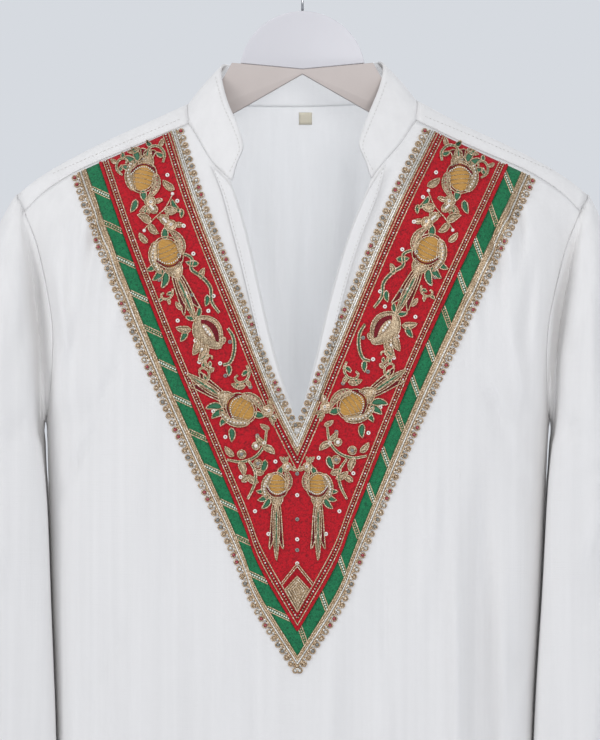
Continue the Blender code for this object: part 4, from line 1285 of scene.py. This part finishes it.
# Distance down the arm in millimetres, across from the middle, turn, size, flip and a bird's tail
ARM_MOTIFS = (
    (bird, 24, -1.5, 150, 1.18, -1, 5.0), (bird, 89, -3.5, 2, 1.25, 1, 30.0),
    (bird, 216, 2.0, -146, 1.22, -1, 25.0), (sprig, 57.0, 0.5, 6, 1.0, 1), (bud, 155, 2.5, 14, 1.12, 1),
    (branch, 250, -0.5, 14, 1.04, 1), (curl, 11, -13.5, 20, 0.8, 1), (curl, 11, 13.0, -20, 0.95, -1),
    (curl, 194, 13.5, 170, 0.85, 1), (curl, 116, -15.0, 150, 0.62, 1), (curl, 183, -13.0, -60, 0.7, -1),
    (curl, 176, -4.0, 40, 0.6, 1),
)
ARM_VINES = (
    (118, 10.5, ((-5, 27), (1.5, 20), (-1.5, 12), (3.5, 4), (6.5, -6), (3.5, -16), (5.5, -26))),
    (170, 14.0, ((3.5, 12), (4.5, 4), (1.5, -5), (-4.5, -12), (-10.5, -12))),
)
# Distance down the arm, across, turn and size
GOLD_LEAVES = (
    (38, 15.0, 30, 1.2), (70, -16.0, 20, 1.0), (145, -13.0, 60, 1.2), (200, 8.5, 60, 1.1),
    (243, -16.5, 20, 1.0), (268, -8.0, 40, 1.1), (1.5, -2.0, 90, 1.0), (112, 15.5, -40, 0.9),
    (165, 9.5, 120, 0.8), (236, 15.0, 40, 0.8), (128, -9.5, 20, 0.8),
)
GREEN_LEAVES = (
    (44, -15.5, 140, 1.1), (150, -15.5, 130, 1.0), (171, -8.0, 100, 1.0), (232, -11.0, 160, 1.1),
    (262, 2.5, 140, 1.1), (101, 11.5, 62, 1.0), (132, 10.5, 150, 0.9), (187, 5.5, 160, 0.9),
    (62, 16.5, 160, 0.7),
)
ARM_SEQUINS = (
    (12, 3.0), (52, 17.0), (46, -4.0), (104, -16.5), (131, 16.8), (157, -8.5), (190, 2.0), (30, 16.2),
    (72, 15.2), (92, 4.2), (95, 14.5), (121, -2.0), (124, 2.5), (138, -15.0), (140, 9.0), (168, 15.0),
    (173, -12.0), (180, 2.0), (205, 16.0), (211, -16.5), (232, -15.5), (240, 7.0), (262, 12.5),
    (264, -15.8),
)
# Beside the centre line: across and z in millimetres
FOOT_SEQUINS = (-421, -437, -455, -470, -478, -488)
FOOT_SIDE_SEQUINS = ((24.5, -398), (21.5, -466), (31.5, -449))


def dress_field(work, side):
    """Motifs down one arm and beside the centre line."""
    for motif, along, across, turn, size, flip, *tail in ARM_MOTIFS:
        motif(arm_spot(work, side, along, across, turn, size, flip), *tail)
    for along, across, points in ARM_VINES:
        vine(arm_spot(work, side, along, across), points, 1.1)
    for finish, leaves in (("old_gold", GOLD_LEAVES), ("green_floss", GREEN_LEAVES)):
        for place in leaves:
            leaf(arm_spot(work, side, *place), finish, (0, -4.5), (0, 4.8), 3.8, 0.9)
    for k, (along, across) in enumerate(ARM_SEQUINS):
        sequin(arm_spot(work, side, along, across), "pearl_ring" if k % 3 else "smoke_ring")
    for across, z in FOOT_SIDE_SEQUINS:
        sequin(upright_spot(work, side, across, z), "pearl_ring")
    bird(upright_spot(work, side, 15.6, -431.0, 0, 0.96), 44.0)
    vine(upright_spot(work, side, 33.0, -424.0), ((-4, 14), (1.5, 5), (1, -5), (-4, -16)), 0.8)
    for across, z, turn in ((29.0, -419.0, 70), (37.5, -425.0, -60)):
        leaf(upright_spot(work, side, across, z, turn), "old_gold", (0, -4.2), (0, 4.2), 3.8, 0.8)


def foot_diamond(work):
    """A filled diamond under a chevron, at the foot of the yoke on the centre line."""
    top, middle, foot, half = -497.5, -507.5, -524.0, 9.2
    corners = [(CENTRE_X, top), (CENTRE_X + half, middle), (CENTRE_X, foot), (CENTRE_X - half, middle)]
    rows = []
    for k in range(9):
        level = top + (foot - top) * k / 8
        tip = top if level > middle else foot
        width = half * (tip - level) / (tip - middle)
        rows.append([(CENTRE_X + width * c, level) for c in (-1, -0.5, 0, 0.5, 1)])
    work.fill("old_gold", rows, 0.0008)
    for share in (1.0, 0.78, 0.56, 0.34, 0.14):
        points = [(CENTRE_X + (x - CENTRE_X) * share, middle + (z - middle) * share) for x, z in corners]
        edge = []
        for (ax, az), (bx, bz) in zip(points, points[1:] + points[:1]):
            count = max(2, int(math.hypot(bx - ax, bz - az) / TWIST_STEP))
            edge += [(ax + (bx - ax) * k / count, az + (bz - az) * k / count) for k in range(count)]
        work.cord("gold", edge, 0.0006, lift=0.0015, closed=True)
    for rise in (0.0, 2.3):
        left = spline([(CENTRE_X - 11.5, -504.5 + rise), (CENTRE_X - 0.3, -490.5 + rise)], 15)
        right = spline([(CENTRE_X + 0.3, -490.5 + rise), (CENTRE_X + 11.5, -504.5 + rise)], 15)
        work.cord("gold", list(left) + list(right), 0.00058, lift=0.0012)


class KURTA_OT_motifs(bpy.types.Operator):
    """Birds, buds, leaves and vines worked in gold thread and silk on the red field"""
    bl_idname = "kurta.motifs"
    bl_label = "Yoke motifs"

    def execute(self, context):
        work = Work(Ground(["red_silk_band"]))
        for side in (-1, 1):
            dress_field(work, side)
        foot_diamond(work)
        for k, z in enumerate(FOOT_SEQUINS):
            sequin(upright_spot(work, 1, 0.0, z), "pearl_ring" if k % 2 else "smoke_ring")
        link_work(work, "motif")
        return {"FINISHED"}


# Hanger

def bevelled_copy(node, name, width, material):
    """A plate of the hanger with rounded edges."""
    bm = merged_copy(node)
    bmesh.ops.dissolve_limit(bm, angle_limit=math.radians(2), verts=bm.verts, edges=bm.edges)
    sharp = [edge for edge in bm.edges if len(edge.link_faces) == 2 and edge.calc_face_angle() > 1.2]
    bmesh.ops.bevel(bm, geom=sharp, offset=width, segments=3, affect="EDGES", profile=0.5, material=-1,
                    clamp_overlap=True)
    mesh = finish_bmesh(bm, name)
    mesh.set_sharp_from_angle(angle=math.radians(40))
    obj = link_mesh(name, mesh, material)
    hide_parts(node)
    return obj


class KURTA_OT_hanger(bpy.types.Operator):
    """Board, head and hook of the hanger"""
    bl_idname = "kurta.hanger"
    bl_label = "Hanger"

    def execute(self, context):
        edge = context.scene.kurta_hanger.edge
        bevelled_copy("hanger_board", "board", edge, "board")
        bevelled_copy("hanger_head", "head", edge, "head")
        mesh = refined_mesh("hanger_hook", 1)
        obj = link_mesh("hook", mesh, "wire")
        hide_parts("hanger_hook")
        return {"FINISHED"}


# Stage

def soft_light(name, place, aim, size, energy, colour):
    """A rectangular area light, its energy in watts."""
    lamp = bpy.data.lights.new(name, "AREA")
    lamp.shape = "RECTANGLE"
    lamp.size, lamp.size_y = size
    lamp.energy = energy
    lamp.color = colour
    obj = bpy.data.objects.new(name, lamp)
    obj.location = place
    obj.rotation_euler = (Vector(aim) - Vector(place)).to_track_quat("-Z", "Y").to_euler()
    bpy.context.scene.collection.objects.link(obj)


class KURTA_OT_stage(bpy.types.Operator):
    """Plain pale floor, soft studio light and the camera"""
    bl_idname = "kurta.stage"
    bl_label = "Stage"

    def execute(self, context):
        scene = context.scene
        scene.view_settings.view_transform = "Standard"
        world = bpy.data.worlds.new("studio_air")
        scene.world = world
        world.use_nodes = True
        air = world.node_tree.nodes["Background"]
        air.inputs["Color"].default_value = (*linear("#D8DCE2"), 1.0)
        air.inputs["Strength"].default_value = 0.98
        bm = bmesh.new()
        bmesh.ops.create_grid(bm, x_segments=1, y_segments=1, size=3.0,
                              matrix=Matrix.Translation((0, 0, CAD_BOX[0][2] - FLOOR_DROP)))
        floor = bpy.data.objects.new("floor", finish_bmesh(bm, "floor", smooth=False))
        floor.data.materials.append(MATERIALS["floor"])
        scene.collection.objects.link(floor)
        soft_light("key", (-2.2, -1.5, 0.8), (0, 0, -0.45), (0.9, 1.4), 17.0, (1.0, 0.99, 0.99))
        soft_light("front", (0.8, -2.8, 0.35), (0, 0, -0.3), (1.0, 0.8), 23.0, (1.0, 0.99, 1.0))
        soft_light("back", (0.4, 2.2, 0.4), (0, 0, -0.4), (1.6, 1.4), 16.0, (1.0, 1.0, 1.0))
        camera = bpy.data.cameras.new("camera")
        camera.sensor_fit = "HORIZONTAL"
        camera.sensor_width = 36.0
        camera.lens = CAMERA_LENS
        camera.clip_end = 50
        stand = bpy.data.objects.new("camera", camera)
        stand.location = CAMERA_PLACE
        stand.rotation_euler = (math.pi / 2, 0, 0)
        scene.collection.objects.link(stand)
        scene.camera = stand
        return {"FINISHED"}


OPERATORS = (KURTA_OT_panels, KURTA_OT_stitches, KURTA_OT_bands, KURTA_OT_borders, KURTA_OT_motifs,
             KURTA_OT_hanger, KURTA_OT_stage)


class KURTA_PT_panel(bpy.types.Panel):
    bl_idname = "KURTA_PT_panel"
    bl_label = "Kurta"
    bl_space_type = "VIEW_3D"
    bl_region_type = "UI"
    bl_category = "Kurta"

    def draw(self, context):
        for group in (context.scene.kurta_cloth, context.scene.kurta_yoke, context.scene.kurta_hanger):
            for name in group.__annotations__:
                self.layout.prop(group, name)
        for operator in OPERATORS:
            self.layout.operator(operator.bl_idname)


CLASSES = (ClothSettings, YokeSettings, HangerSettings, *OPERATORS, KURTA_PT_panel)


def register():
    for cls in CLASSES:
        bpy.utils.register_class(cls)
    bpy.types.Scene.kurta_cloth = PointerProperty(type=ClothSettings)
    bpy.types.Scene.kurta_yoke = PointerProperty(type=YokeSettings)
    bpy.types.Scene.kurta_hanger = PointerProperty(type=HangerSettings)


def unregister():
    del bpy.types.Scene.kurta_hanger
    del bpy.types.Scene.kurta_yoke
    del bpy.types.Scene.kurta_cloth
    for cls in reversed(CLASSES):
        bpy.utils.unregister_class(cls)


def main():
    register()
    make_materials(bpy.context.scene)
    bpy.ops.kurta.panels()
    bpy.ops.kurta.stitches()
    bpy.ops.kurta.bands()
    bpy.ops.kurta.borders()
    bpy.ops.kurta.motifs()
    bpy.ops.kurta.hanger()
    bpy.ops.kurta.stage()


if __name__ == "__main__":
    main()
